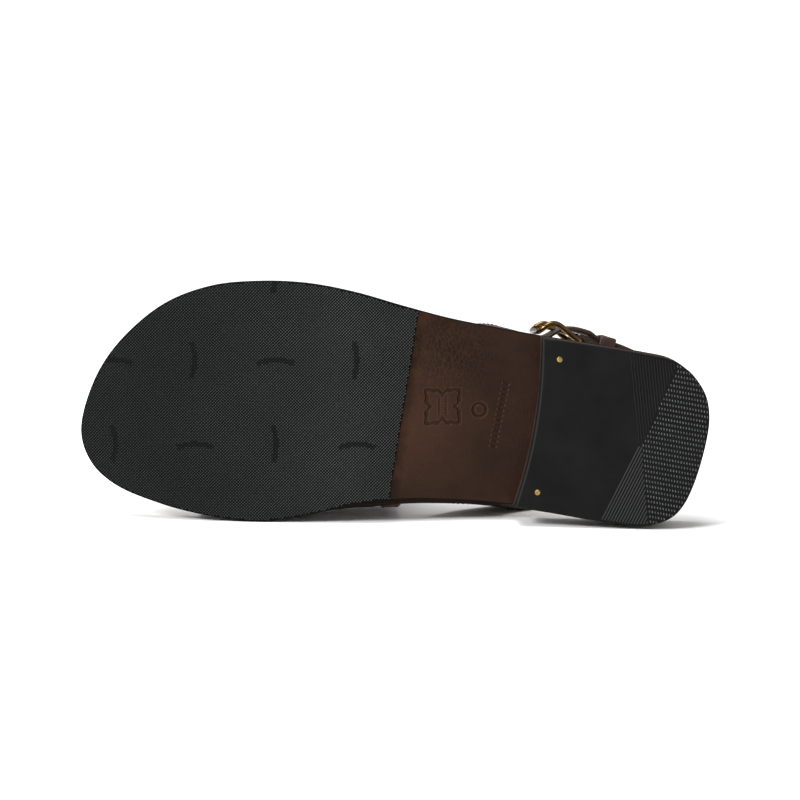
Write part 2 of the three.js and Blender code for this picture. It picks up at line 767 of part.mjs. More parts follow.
// A block in the buckle's own frame
function buckleBlock([forward, across, out], [length, width, height]) {
  const basis = new THREE.Matrix4().makeBasis(buckle.across, buckle.forward, buckle.out);
  const middle = bucklePlace(forward, across, out);
  return new THREE.BoxGeometry(width, length, height)
    .applyMatrix4(basis)
    .translate(middle.x, middle.y, middle.z);
}

// The prong: a sleeve round the back bar and a tongue that ends on the front bar
const eyeHole = buckleWire + seam;
const eyeRadius = eyeHole + eyeWall;
const sleeveWidth = slotWidth - 2 * seam;
const prongRest = frontBarLift + buckleWire + seam + prongRadius;
const prongStart = eyeHole + (eyeWall + seam) / 2;
const prongReach = 2.2;
const prongBow = 0.6;
const prongSteps = 8;
const prongPath = Array.from({ length: prongSteps + 1 }, (_, i) => {
  const share = i / prongSteps;
  const out = lerp(prongStart, prongRest, smoothstep(share, 0, 0.9)) + prongBow * Math.sin(Math.PI * share);
  return bucklePlace(lerp(backBar, frontBar + prongReach, share), 0, out);
});
const prongWire = (radius) => wireGeometry(prongPath, radius, false);
const prongSleeve = cut(barCylinder(eyeRadius, sleeveWidth), barCylinder(eyeHole, slotWidth));
const bucklePin = cut(join(prongSleeve, prongWire(prongRadius)), barCylinder(eyeHole, slotWidth));

// The two ankle straps. The one round the heel ends in an eye on the buckle's back bar. The one from the
// outer side runs under the front bar and out over the back bar, and its tail lies on the first.
const heelStrapSteps = 40;
const sideStrapSteps = 30;
const rootStart = strapTable[0].along * soleLength;
const rootEnd = strapTable.at(-1).along * soleLength;
const strapWidthAt = (along) => strapWidth * strapForm(along, "width");
const heelStrap = cut(
  join(
    strapGeometry({ from: rootStart, to: alongBack, steps: heelStrapSteps, width: strapWidthAt }),
    barCylinder(eyeRadius, strapWidth),
  ),
  underFloor,
  barCylinder(eyeHole, 2 * strapWidth),
  buckleBlock([backBar, 0, 0], [3 * eyeRadius, slotWidth, 3 * eyeRadius]),
);

const tailEnd = alongBack - tailLength;
const tailLift = strapThickness + seam;
const overBar = eyeRadius + seam + strapThickness / 2;
const underBar = frontBarLift - buckleWire - seam - strapThickness / 2;
const liftTable = [
  { forward: -tailLength, lift: tailLift },
  { forward: -keeperAt - keeperWidth, lift: tailLift },
  { forward: -keeperAt + keeperWidth / 2, lift: tailLift },
  { forward: -eyeRadius, lift: overBar },
  { forward: 8, lift: overBar },
  { forward: buckleLength - 3, lift: underBar },
  { forward: buckleLength + 4, lift: underBar },
  { forward: buckleLength + 16, lift: 0 },
];
const tipLength = 11;
const sideStrapWidth = (along) => {
  const share = clamp((along - tailEnd) / tipLength, 0, 1);
  return strapWidthAt(along) * Math.max(Math.sqrt(1 - (1 - share) ** 2), 0.3);
};
const holes = [0, 1, 2].map((i) => {
  const place = strapPlace(alongBack - keeperAt - holePitch * (i + 1) + holePitch / 2, 0, tailLift);
  const turn = new THREE.Quaternion().setFromUnitVectors(new THREE.Vector3(0, 1, 0), buckle.out);
  return new THREE.CylinderGeometry(holeRadius, holeRadius, 2 * strapThickness, 8)
    .applyQuaternion(turn)
    .translate(place.x, place.y, place.z);
});
const sideStrap = cut(
  strapGeometry({
    from: tailEnd,
    to: rootEnd,
    steps: sideStrapSteps,
    width: sideStrapWidth,
    lift: (along) => read(liftTable, "forward", "lift", along - alongBack),
  }),
  underFloor,
  prongWire(prongRadius + seam),
  ...holes,
);

// The keeper: a loop round both straps behind the buckle
const keeperLoop = (grow) => {
  const half = strapWidth / 2 + bucklePlay / 2 + grow;
  const clear = strapThickness / 2 + 2 * seam + grow;
  const [low, high] = [-clear, tailLift + clear];
  const corner = 0.8;
  return [
    [-half + corner, low],
    [half - corner, low],
    [half, low + corner],
    [half, high - corner],
    [half - corner, high],
    [-half + corner, high],
    [-half, high - corner],
    [-half, low + corner],
  ];
};
const [keeperInner, keeperOuter] = [keeperLoop(0), keeperLoop(keeperThickness)];
const keeper = loft(
  keeperInner.map((_, k) => {
    const place = ([across, out], away) => {
      return strapPlace(alongBack - keeperAt + (away * keeperWidth) / 2, across, out);
    };
    return [
      place(keeperInner[k], -1),
      place(keeperInner[k], 1),
      place(keeperOuter[k], 1),
      place(keeperOuter[k], -1),
    ];
  }),
  true,
);

// Laid on its inner side: the sole looks towards -Y, the toe points to -X and the outer side is up
const pieces = [
  { name: "half_sole", slot: "sole_rubber", weight: "rubber", geometry: halfSole },
  { name: "outsole", slot: "sole_leather", weight: "leather", geometry: outsole },
  { name: "heel_base", slot: "heel_leather", weight: "leather", geometry: heelBase },
  { name: "heel_top_piece", slot: "heel_rubber", weight: "rubber", geometry: heelTopPiece },
  { name: "heel_nail_1", slot: "nail_brass", weight: "brass", geometry: nails[0] },
  { name: "heel_nail_2", slot: "nail_brass", weight: "brass", geometry: nails[1] },
  { name: "insole", slot: "insole_leather", weight: "leather", geometry: insole },
  { name: "vamp", slot: "upper_leather", weight: "leather", geometry: wovenVamp() },
  { name: "heel_strap", slot: "strap_leather", weight: "leather", geometry: heelStrap },
  { name: "side_strap", slot: "strap_leather", weight: "leather", geometry: sideStrap },
  { name: "strap_keeper", slot: "strap_leather", weight: "leather", geometry: keeper },
  { name: "buckle_frame", slot: "buckle_brass", weight: "brass", geometry: buckleFrame },
  { name: "buckle_prong", slot: "buckle_brass", weight: "brass", geometry: bucklePin },
];
const lay = new THREE.Matrix4().makeBasis(
  new THREE.Vector3(-1, 0, 0),
  new THREE.Vector3(0, 0, 1),
  new THREE.Vector3(0, 1, 0),
);
pieces.forEach(({ geometry }) => geometry.applyMatrix4(lay));

function massMiddle() {
  const sum = new THREE.Vector3();
  let mass = 0;
  pieces.forEach(({ geometry, weight }) => {
    const { volume, moment } = momentOf(geometry);
    mass += volume * density[weight];
    sum.addScaledVector(moment, density[weight]);
  });
  return sum.divideScalar(mass);
}

// It comes to rest on the face of its convex hull under its centre of mass
const down = new THREE.Vector3(0, 0, -1);
const turns = 6;
for (let i = 0; i < turns; i++) {
  const middle = massMiddle();
  const points = pieces.flatMap(({ geometry }) => {
    const p = geometry.getAttribute("position");
    return Array.from({ length: p.count }, (_, k) => new THREE.Vector3().fromBufferAttribute(p, k));
  });
  const faces = new ConvexHull().setFromPoints(points).faces.filter((face) => face.normal.dot(down) > 0);
  const reach = (face) => (face.constant - face.normal.dot(middle)) / face.normal.dot(down);
  const under = faces.reduce((best, face) => (reach(face) < reach(best) ? face : best));
  const settle = new THREE.Quaternion().setFromUnitVectors(under.normal, down);
  pieces.forEach(({ geometry }) => geometry.applyQuaternion(settle));
}
const whole = new THREE.Box3();
pieces.forEach(({ geometry }) => {
  geometry.computeBoundingBox();
  whole.union(geometry.boundingBox);
});
const middle = whole.getCenter(new THREE.Vector3());

const colours = {
  sole_rubber: 0x2a2c2b,
  sole_leather: 0x3d2e25,
  heel_leather: 0x35272a,
  heel_rubber: 0x20201e,
  nail_brass: 0xb08a3c,
  insole_leather: 0x6e4a30,
  upper_leather: 0x3a2a21,
  strap_leather: 0x38281f,
  buckle_brass: 0x9c7a42,
};
const model = new THREE.Group();
model.name = "sandal";
pieces.forEach(({ name, slot, geometry }) => {
  geometry.translate(-middle.x, -middle.y, -whole.min.z);
  const material = new THREE.MeshStandardMaterial({ color: colours[slot] });
  material.name = slot;
  const mesh = new THREE.Mesh(geometry, material);
  mesh.name = name;
  model.add(mesh);
});

export default model;
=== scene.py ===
import math

import bmesh
import bpy
import numpy as np
from mathutils import Matrix, Vector


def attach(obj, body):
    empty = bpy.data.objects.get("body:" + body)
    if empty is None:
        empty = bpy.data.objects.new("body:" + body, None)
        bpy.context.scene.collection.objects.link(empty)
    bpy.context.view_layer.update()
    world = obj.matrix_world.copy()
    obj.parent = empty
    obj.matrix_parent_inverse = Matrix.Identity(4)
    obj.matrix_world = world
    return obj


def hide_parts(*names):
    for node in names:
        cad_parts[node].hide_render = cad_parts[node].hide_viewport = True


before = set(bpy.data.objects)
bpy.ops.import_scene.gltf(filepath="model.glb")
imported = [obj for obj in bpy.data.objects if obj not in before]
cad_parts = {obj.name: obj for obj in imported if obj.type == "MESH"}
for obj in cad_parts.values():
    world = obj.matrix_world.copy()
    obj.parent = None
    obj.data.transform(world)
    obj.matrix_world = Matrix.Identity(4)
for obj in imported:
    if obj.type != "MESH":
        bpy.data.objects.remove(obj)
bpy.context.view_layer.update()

# The leather sandal of the frame, dressed. Lengths are in millimetres in the shoe's own frame, which has x
# from the back of the heel to the toe, y to the outer side and z up from the ground. Each piece is laid down
# on the floor as it is made.
noise_rng = np.random.default_rng(7)
MM = 0.001

# Where the shoe's own frame lies in the scene
SHOE_AXES = np.array(
    (
        (-0.9998054, -0.0006070, -0.0197180),
        (-0.0197180, 0.0615035, 0.9979121),
        (0.0006070, 0.9981067, -0.0615035),
    )
)
SHOE_ORIGIN = np.array((135.0185, -39.5458, 42.8677))

# Sizes of the sole
SOLE_LENGTH = 270
BALL_WIDTH = 103
HEEL_HEIGHT = 14
TOP_PIECE = 7.2
HALF_SOLE = 2.5
OUTSOLE = 4.5
INSOLE = 4
TOE_SPRING = 6
HEEL_TURN = math.radians(9)
BREAST_AT = 78.6
BREAST_HOLLOW = 3.2
HEEL_INSET = 0.3
HEEL_TAPER = 0.1
HALF_SOLE_BACK = 132.5
TREAD_START = 151
TREAD_END = 205
INSOLE_INSET = 1
NAIL_RADIUS = 1.3
NAIL_FROM_BREAST = 9.5
NAIL_FROM_EDGE = 8.3
WALL_INSET = 2
WAIST_FLARE = 3.4  # how far the bevelled edge of the inner waist stands out at its top
ROOTS = (86, 222)  # between these the insole stays clear of the vamp's foot and the straps' roots
ROOTS_BLEND = 12
ROOTS_INSET = 4.3
SEAM = 0.3  # clearance between the outsole and the insole
GLUED = 0.05  # clearance between plates that are glued
FOOTBED_DISH = 1.0

# Sizes of the woven vamp
STRIP_STEP = 0.8  # from the wall's middle to the middle of a strip
STRIP_THICKNESS = 1.35
BAND_WIDTH = 9
BAND_THICKNESS = 3.5
GAP_SHARE = 0.25
CROSS_STRIPS = 8
LONG_STRIPS = 18
INSTEP_HEIGHT = 70
SWELL_HEIGHT = 14
WALL_SWELL = 6
END_MARGIN = 0.95

# Sizes of the straps and the buckle
STRAP = 2.2
STRAP_WIDTH = 15
ANKLE_HEIGHT = 60
ANKLE_INSET = 10
BUCKLE_AT = 0.288
BUCKLE_LENGTH = 20
BUCKLE_WIRE = 1.3
BUCKLE_PLAY = 0.9
BUCKLE_ARCH = 5
ARCH_LEAN = 1.7  # moves the arch's peak towards the front bar
FRONT_BAR_LIFT = 1.6
EYE_WALL = 1.7
EYE_HOLE = 1.6
SLOT_WIDTH = 3.2
PRONG_RADIUS = 0.95
KEEPER_WIDTH = 7
KEEPER_THICKNESS = 1.4
KEEPER_AT = 12
TAIL_LENGTH = 32
HOLE_RADIUS = 1.3
HOLE_PITCH = 9


class Table:
    """Rows of named columns, read along the first one as a smooth curve."""

    def __init__(self, names, *rows):
        self.columns = dict(zip(names, np.array(rows, float).T))
        self.order = self.columns[names[0]]

    def read(self, name, value):
        column, order = self.columns[name], self.order
        ahead = np.r_[column[1:], column[-1]]
        behind = np.r_[column[0], column[:-1]]
        slope = (ahead - behind) / (np.r_[order[1:], order[-1]] - np.r_[order[0], order[:-1]])
        value = np.clip(value, order[0], order[-1])
        i = np.clip(np.searchsorted(order, value, "right") - 1, 0, len(order) - 2)
        span = order[i + 1] - order[i]
        t = (value - order[i]) / span
        ease = t * t * (3 - 2 * t)
        bend = span * t * (1 - t) * ((1 - t) * slope[i] - t * slope[i + 1])
        return column[i] + (column[i + 1] - column[i]) * ease + bend


# Shares of the sole's length from the heel, and of the ball width to the inner and outer side
OUTLINE = (
    (0.006, 0.063, 0.1505),
    (0.026, 0.2385, 0.234),
    (0.045, 0.33, 0.276),
    (0.064, 0.372, 0.301),
    (0.102, 0.4, 0.322),
    (0.179, 0.379, 0.356),
    (0.256, 0.344, 0.387),
    (0.332, 0.314, 0.423),
    (0.409, 0.294, 0.464),
    (0.486, 0.2845, 0.519),
    (0.562, 0.305, 0.577),
    (0.639, 0.351, 0.615),
    (0.716, 0.3766, 0.623),
    (0.792, 0.3556, 0.6025),
    (0.869, 0.3075, 0.523),
    (0.946, 0.226, 0.343),
    (0.984, 0.134, 0.1715),
)
HEEL_TIP = 0.0586
TOE_TIP = -0.01
VAMP = Table(
    ("at", "height", "crest", "innerSwell", "outerSwell", "inner", "outer"),
    (0.4, 1.16, 0.45, 0.9, -0.1, 2.2, 2),
    (0.5, 1, 0.42, 1, -0.15, 2.3, 1.95),
    (0.6, 0.79, 0.4, 0.5, -0.2, 2.4, 1.95),
    (0.7, 0.63, 0.4, -0.18, -0.2, 2.4, 2),
    (0.8, 0.5, 0.42, -0.2, -0.15, 2.4, 2.1),
    (0.9, 0.38, 0.44, -0.1, -0.1, 2.5, 2.2),
)
VAMP_EDGES = Table(
    ("over", "front", "back"),
    (0, 0.815, 0.487),
    (0.25, 0.815, 0.5),
    (0.5, 0.805, 0.497),
    (0.75, 0.785, 0.49),
    (1, 0.77, 0.478),
)
STRAP_LINE = Table(
    ("along", "middle", "width"),
    (-0.645, -0.8, 2),
    (-0.53, 0.01, 1.75),
    (-0.445, 0.36, 1.25),
    (-0.35, 0.62, 1.05),
    (-0.2, 0.82, 1),
    (0, 0.92, 1),
    (0.2, 0.86, 1),
    (0.28, 0.82, 1),
    (0.36, 0.73, 1),
    (0.412, 0.5, 1.1),
    (0.477, 0.01, 1.5),
    (0.55, -0.6, 1.8),
)
ANKLE = Table(
    ("height", "back", "inner", "waist", "outer"),
    (0, 0.2, 0.2, 0.2, 0.2),
    (0.2, 0.3, 0.3, -0.25, 0.25),
    (0.45, 0.6, 0.45, -0.4, 0.35),
    (0.7, 1.2, 0.65, -0.3, 0.18),
    (1, 1.8, 0.97, 0, 0.32),
)
INNER_REACH = 0.2
OUTER_REACH = 0.24
WAIST_REACH = 0.45


def lerp(a, b, t):
    return a + (b - a) * t


def smoothstep(x, low, high):
    t = np.clip((x - low) / (high - low), 0, 1)
    return t * t * (3 - 2 * t)


def unit(v):
    return v / np.maximum(np.linalg.norm(v, axis=-1, keepdims=True), 1e-9)


def circle(count):
    """Angles evenly spaced round a circle."""
    return np.linspace(0, 2 * np.pi, count, endpoint=False)


def lengths_of(line):
    """How far along a line each of its points lies."""
    return np.r_[0, np.cumsum(np.linalg.norm(np.diff(line, axis=0), axis=1))]


def read_line(line, lengths, at):
    return np.stack([np.interp(at, lengths, column) for column in line.T], axis=-1)


def spread(line, count, endpoint=True):
    """Places evenly spaced along a line."""
    lengths = lengths_of(line)
    return read_line(line, lengths, np.linspace(0, lengths[-1], count, endpoint=endpoint))


# The sole's outline
def closed_curve(points, samples):
    """A centripetal curve through points, closed, as places and unit tangents."""
    count = len(points)
    t = np.arange(samples) * count / samples

    def place(t):
        i = np.floor(t).astype(int)
        w = (t - i)[:, None]
        p = [points[(i + k) % count] for k in (-1, 0, 1, 2)]
        d = [np.sum((p[k + 1] - p[k]) ** 2, axis=1)[:, None] ** 0.25 for k in range(3)]
        t1 = (p[1] - p[0]) / d[0] - (p[2] - p[0]) / (d[0] + d[1]) + (p[2] - p[1]) / d[1]
        t2 = (p[2] - p[1]) / d[1] - (p[3] - p[1]) / (d[1] + d[2]) + (p[3] - p[2]) / d[2]
        t1, t2 = t1 * d[1], t2 * d[1]
        c2 = -3 * p[1] + 3 * p[2] - 2 * t1 - t2
        c3 = 2 * p[1] - 2 * p[2] + t1 + t2
        return p[1] + t1 * w + c2 * w**2 + c3 * w**3

    step = 1e-3
    return place(t), unit(place((t + step) % count) - place((t - step) % count))


outline_points = np.array(
    [(0, HEEL_TIP * BALL_WIDTH)]
    + [(at * SOLE_LENGTH, outer * BALL_WIDTH) for at, inner, outer in OUTLINE]
    + [(SOLE_LENGTH, TOE_TIP * BALL_WIDTH)]
    + [(at * SOLE_LENGTH, -inner * BALL_WIDTH) for at, inner, outer in reversed(OUTLINE)]
)
outline, outline_tangent = closed_curve(outline_points, 1200)
outline_inward = np.stack((outline_tangent[:, 1], -outline_tangent[:, 0]), axis=1)


def sides_of(inset):
    """The outline moved inwards, as its outer and inner sides from heel to toe."""
    amount = inset(outline[:, 0])[:, None] if callable(inset) else inset
    moved = outline + outline_inward * amount
    heel, toe = np.argmin(moved[:, 0]), np.argmax(moved[:, 0])
    moved = np.roll(moved, -heel, axis=0)
    turn = (toe - heel) % len(moved)
    outer = moved[: turn + 1]
    inner = np.vstack((moved[turn:], moved[:1]))[::-1]
    return outer, inner


def side_at(side, x):
    return np.interp(x, np.maximum.accumulate(side[:, 0]), side[:, 1])


WAIST_START = BREAST_AT + 2 * BREAST_HOLLOW


def outsole_bottom(x):
    rise = (HEEL_HEIGHT - HALF_SOLE) * (1 - smoothstep(x, WAIST_START, TREAD_START))
    spring = TOE_SPRING * np.maximum(0, (x - TREAD_END) / (SOLE_LENGTH - TREAD_END)) ** 2
    return HALF_SOLE + rise + spring


def outsole_top(x):
    return outsole_bottom(x) + OUTSOLE


# Meshes
def to_scene(points):
    return (np.asarray(points, float) @ SHOE_AXES + SHOE_ORIGIN) * MM


class Soup:
    """Points and faces of one piece, gathered from several forms."""

    def __init__(self):
        self.points, self.faces, self.tints, self.count = [], [], [], 0

    def add(self, points, faces, tint=0.0):
        points = np.asarray(points, float).reshape(-1, 3)
        self.faces += [tuple(int(i) + self.count for i in face) for face in faces]
        self.points.append(points)
        self.tints.append(np.broadcast_to(np.asarray(tint, float), (len(points),)))
        self.count += len(points)

    def piece(self, name, material, slot, nodes=(), sharp=None, merge=False):
        mesh = bpy.data.meshes.new(name)
        mesh.from_pydata(to_scene(np.vstack(self.points)).tolist(), [], self.faces)
        mesh.update()
        tint = mesh.attributes.new("tint", "FLOAT", "POINT")
        tint.data.foreach_set("value", np.concatenate(self.tints).astype(np.float32))
        form = bmesh.new()
        form.from_mesh(mesh)
        if merge:
            bmesh.ops.remove_doubles(form, verts=form.verts, dist=0.02 * MM)
        bmesh.ops.recalc_face_normals(form, faces=form.faces)
        form.to_mesh(mesh)
        form.free()
        mesh.shade_smooth()
        if sharp:
            mesh.set_sharp_from_angle(angle=math.radians(sharp))
        for each in material if isinstance(material, (list, tuple)) else [material]:
            mesh.materials.append(each)
        piece = bpy.data.objects.new(name, mesh)
        bpy.context.scene.collection.objects.link(piece)
        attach(piece, "root")
        if nodes:
            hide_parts(*nodes)
        return piece


def grid_faces(rows, count, loop=False, closed=True):
    """Quads between rows of points. Rows can be closed into rings, and joined last to first in a loop."""
    faces = []
    for i in range(rows if loop else rows - 1):
        here, there = i * count, ((i + 1) % rows) * count
        for k in range(count if closed else count - 1):
            turn = (k + 1) % count
            faces.append((here + k, here + turn, there + turn, there + k))
    return faces


def end_caps(rows, count):
    return [tuple(range(count)), tuple((rows - 1) * count + k for k in reversed(range(count)))]


def add_loft(soup, rings, loop=False, tint=0.0):
    rings = np.asarray(rings, float)
    rows, count = rings.shape[:2]
    faces = grid_faces(rows, count, loop)
    if not loop:
        faces += end_caps(rows, count)
    soup.add(rings.reshape(-1, 3), faces, tint)


# Plates of the sole: rings that run inwards from the plate's wall to its spine, above and below
SPINE_SHARES = (1, 0.85, 0.68, 0.5, 0.32, 0.16, 0.05)


def add_plate(soup, shape, profile, floor, roof, first_inset, last_inset):
    """shape(inset) gives a ring in plan and its spine. The profile has the wall's insets and heights."""
    rings = []
    ring, spine = shape(first_inset)
    for share in SPINE_SHARES:
        p = lerp(ring, spine, share)
        rings.append(np.c_[p, floor(p[:, 0], p[:, 1])])
    for inset, height in profile:
        p, _ = shape(inset)
        rings.append(np.c_[p, height(p[:, 0], p[:, 1])])
    ring, spine = shape(last_inset)
    for share in reversed(SPINE_SHARES):
        p = lerp(ring, spine, share)
        rings.append(np.c_[p, roof(p[:, 0], p[:, 1])])
    rings = np.array(rings)
    soup.add(rings.reshape(-1, 3), grid_faces(len(rings), rings.shape[1]))


def edge_profile(inset, bottom, top, radius):
    """A wall with rounded edges between two heights."""

    def off(base, lift):
        return lambda x, y: base(x, y) + lift

    def between(share):
        return lambda x, y: lerp(bottom(x, y) + radius, top(x, y) - radius, share)

    bends = [math.pi / 2 * k / 4 for k in range(5)]
    rows = [(inset + radius * (1 - math.sin(a)), off(bottom, radius * (1 - math.cos(a)))) for a in bends]
    rows += [(inset, between(share)) for share in (0.3, 0.5, 0.7)]
    rows += [(inset + radius * (1 - math.cos(a)), off(top, -radius * (1 - math.sin(a)))) for a in bends]
    return rows


PLATE_STEPS = 130


def whole_shape(extra=lambda x: 0 * x):
    """The whole sole in plan."""

    def shape(inset):
        outer, inner = sides_of(lambda x: inset + extra(x))
        share = (1 - np.cos(np.linspace(0, np.pi, PLATE_STEPS))) / 2
        x = lerp(outer[0, 0], outer[-1, 0], share)
        a = np.c_[x, side_at(outer, x)]
        b = np.c_[x, side_at(inner, x)]
        a[0] = b[0] = outer[0]
        a[-1] = b[-1] = outer[-1]
        middle = (a + b) / 2
        room = 26  # from the outline's ends to the spine's
        middle[:, 0] = np.clip(middle[:, 0], outer[0, 0] + room, outer[-1, 0] - room)
        middle[:, 1] = np.interp(middle[:, 0], x, (a[:, 1] + b[:, 1]) / 2)
        return np.vstack((a, b[::-1])), np.vstack((middle, middle[::-1]))

    return shape


def part_shape(end_line, edge, keep_front, steps=90):
    """The sole in plan up to a line across it, x = end_line(y, inset). The edge gives the line's points."""

    def shape(inset):
        halves = []
        for side in sides_of(inset):
            line = end_line(side[:, 1], inset)
            if keep_front:
                kept, beyond = side[side[:, 0] > line][::-1], side[side[:, 0] <= line][-1]
            else:
                kept = side[side[:, 0] < line]
                beyond = side[len(kept)]
            before, after = (p[0] - end_line(p[1], inset) for p in (kept[-1], beyond))
            kept = np.vstack((kept, lerp(kept[-1], beyond, before / (before - after))))
            halves.append(spread(kept, steps))
        outer, inner = halves
        across = edge(outer[-1], inner[-1])
        middle = (outer + inner) / 2
        room = 14 if keep_front else -14  # from the line to the spine's end
        limit = middle[-1, 0] + room
        middle[:, 0] = np.maximum(middle[:, 0], limit) if keep_front else np.minimum(middle[:, 0], limit)
        spine = np.vstack((middle, np.repeat(middle[-1:], len(across), axis=0), middle[::-1]))
        return np.vstack((outer, across, inner[::-1])), spine

    return shape


BREAST_BEVEL = 1.6  # how much wider the top piece's edge is rounded at the breast


def breast_line(y, inset=0):
    return BREAST_AT - y * math.tan(HEEL_TURN) - inset


def top_piece_line(y, inset=0):
    return breast_line(y, HEEL_INSET + (inset - HEEL_INSET) * BREAST_BEVEL)


def half_sole_line(y, inset=0):
    return HALF_SOLE_BACK - y * math.tan(HEEL_TURN) + inset


def straight_edge(a, b, steps=30):
    return lerp(a, b, (np.arange(1, steps) / steps)[:, None])


def breast_edge(a, b, steps=26):
    share = (np.arange(1, steps) / steps)[:, None]
    back = unit(np.array((b[1] - a[1], a[0] - b[0])))
    return straight_edge(a, b, steps) + back * 4 * share * (1 - share) * BREAST_HOLLOW


def insole_extra(x):
    start, end = ROOTS
    roots = smoothstep(x, start - ROOTS_BLEND, start) * (1 - smoothstep(x, end, end + ROOTS_BLEND))
    return lerp(INSOLE_INSET, ROOTS_INSET, roots)


heel_shape = part_shape(breast_line, breast_edge, False)
top_piece_shape = part_shape(top_piece_line, breast_edge, False)
half_sole_shape = part_shape(half_sole_line, straight_edge, True)
sole_shape = whole_shape()
insole_shape = whole_shape(insole_extra)


def level(z):
    return lambda x, y: z + 0 * x


def plane(height, shift=0):
    """A height that follows x alone, moved up by a shift, as one of x and y."""
    return lambda x, y: height(x) + shift


# Materials. Each is made of the shoe's own coordinates in millimetres.
class Nodes:
    """A short hand for one material's nodes."""

    def __init__(self, name):
        self.material = bpy.data.materials.new(name)
        self.material.use_nodes = True
        self.tree = self.material.node_tree
        self.tree.nodes.clear()
        self.out = self.new("ShaderNodeOutputMaterial")
        self.shader = self.new("ShaderNodeBsdfPrincipled")
        self.link(self.shader.outputs[0], self.out.inputs[0])

    def new(self, kind, **settings):
        node = self.tree.nodes.new(kind)
        for key, value in settings.items():
            setattr(node, key, value)
        return node

    def link(self, a, b):
        self.tree.links.new(a, b)

    def put(self, socket, value):
        if isinstance(value, bpy.types.NodeSocket):
            self.link(value, socket)
        else:
            socket.default_value = value

    def math(self, kind, *values, clamp=False):
        node = self.new("ShaderNodeMath", operation=kind, use_clamp=clamp)
        for socket, value in zip(node.inputs, values):
            self.put(socket, value)
        return node.outputs[0]

    def vector(self, kind, *values):
        node = self.new("ShaderNodeVectorMath", operation=kind)
        for socket, value in zip(node.inputs, values):
            self.put(socket, value)
        return node.outputs["Value"] if kind in ("DOT_PRODUCT", "LENGTH", "DISTANCE") else node.outputs[0]

    def shoe(self):
        """The place in the shoe's frame, in millimetres, as a vector and its x, y and z."""
        place = self.vector("SCALE", self.new("ShaderNodeTexCoord").outputs["Object"])
        self.tree.nodes[-1].inputs["Scale"].default_value = 1 / MM
        moved = self.vector("SUBTRACT", place, tuple(SHOE_ORIGIN))
        parts = [self.vector("DOT_PRODUCT", moved, tuple(axis)) for axis in SHOE_AXES]
        joined = self.new("ShaderNodeCombineXYZ")
        for socket, part in zip(joined.inputs, parts):
            self.link(part, socket)
        return joined.outputs[0], parts

    def noise(self, place, scale, detail=4, rough=0.55, squeeze=None):
        if squeeze:
            place = self.vector("MULTIPLY", place, squeeze)
        node = self.new("ShaderNodeTexNoise")
        self.link(place, node.inputs["Vector"])
        node.inputs["Scale"].default_value = scale
        node.inputs["Detail"].default_value = detail
        node.inputs["Roughness"].default_value = rough
        return node.outputs["Fac"]

    def cells(self, place, scale, feature="F1"):
        node = self.new("ShaderNodeTexVoronoi", feature=feature)
        self.link(place, node.inputs["Vector"])
        node.inputs["Scale"].default_value = scale
        return node.outputs["Distance"]

    def range(self, value, low, high, to_low=0.0, to_high=1.0):
        node = self.new("ShaderNodeMapRange", clamp=True)
        self.link(value, node.inputs["Value"])
        for name, number in (("From Min", low), ("From Max", high), ("To Min", to_low), ("To Max", to_high)):
            node.inputs[name].default_value = number
        return node.outputs[0]

    def mix(self, share, a, b):
        node = self.new("ShaderNodeMix", data_type="RGBA")
        self.put(node.inputs["Factor"], share)
        self.put(node.inputs["A"], a)
        self.put(node.inputs["B"], b)
        return node.outputs["Result"]

    def attribute(self, name):
        return self.new("ShaderNodeAttribute", attribute_name=name).outputs["Fac"]

    def bump(self, height, distance, strength=1.0, below=None):
        node = self.new("ShaderNodeBump")
        self.link(height, node.inputs["Height"])
        node.inputs["Distance"].default_value = distance * MM
        node.inputs["Strength"].default_value = strength
        if below is not None:
            self.link(below, node.inputs["Normal"])
        return node.outputs["Normal"]

    def finish(self, color, rough, normal=None, **fixed):
        self.put(self.shader.inputs["Base Color"], color)
        self.put(self.shader.inputs["Roughness"], rough)
        if normal is not None:
            self.link(normal, self.shader.inputs["Normal"])
        for name, value in fixed.items():
            self.shader.inputs[name.replace("_", " ")].default_value = value
        return self.material


def rgb(*screen):
    """A colour of the screen, from 0 to 255, as the shader's own."""
    return tuple(c / 255 / 12.92 if c <= 10 else ((c / 255 + 0.055) / 1.055) ** 2.4 for c in screen) + (1.0,)


def leather(name, dark, mid, light, grain=1.0, gloss=0.42, relief=0.12, shine=0.3):
    n = Nodes(name)
    place, _ = n.shoe()
    wide = n.noise(place, 0.06, 5, 0.6)
    fine = n.noise(place, 0.9 * grain, 4, 0.6)
    pores = n.cells(place, 1.3 * grain)
    color = n.mix(n.range(wide, 0.32, 0.68), dark, light)
    color = n.mix(n.range(fine, 0.35, 0.7, 0.15, 0.6), color, mid)
    color = n.mix(n.range(pores, 0.0, 0.35, 0.35, 0.0), color, dark)
    rough = n.range(fine, 0.3, 0.7, gloss - 0.07, gloss + 0.12)
    normal = n.bump(pores, relief, 0.55)
    normal = n.bump(wide, 0.8, 0.35, normal)
    normal = n.bump(fine, relief * 1.4, 0.5, normal)
    return n.finish(color, rough, normal, Specular_IOR_Level=shine)


def plain_rubber(name, base, wear, tint_highlight, relief=0.05):
    n = Nodes(name)
    place, _ = n.shoe()
    wide = n.noise(place, 0.05, 4, 0.6)
    fine = n.noise(place, 2.2, 3, 0.6)
    color = n.mix(n.range(wide, 0.35, 0.7, 0.0, 0.8), base, wear)
    # Where tint is set the colour goes towards a painted highlight.
    color = n.mix(n.attribute("tint"), color, tint_highlight)
    normal = n.bump(fine, relief, 0.5)
    return n.finish(color, n.range(wide, 0.3, 0.7, 0.6, 0.74), normal, Specular_IOR_Level=0.04)


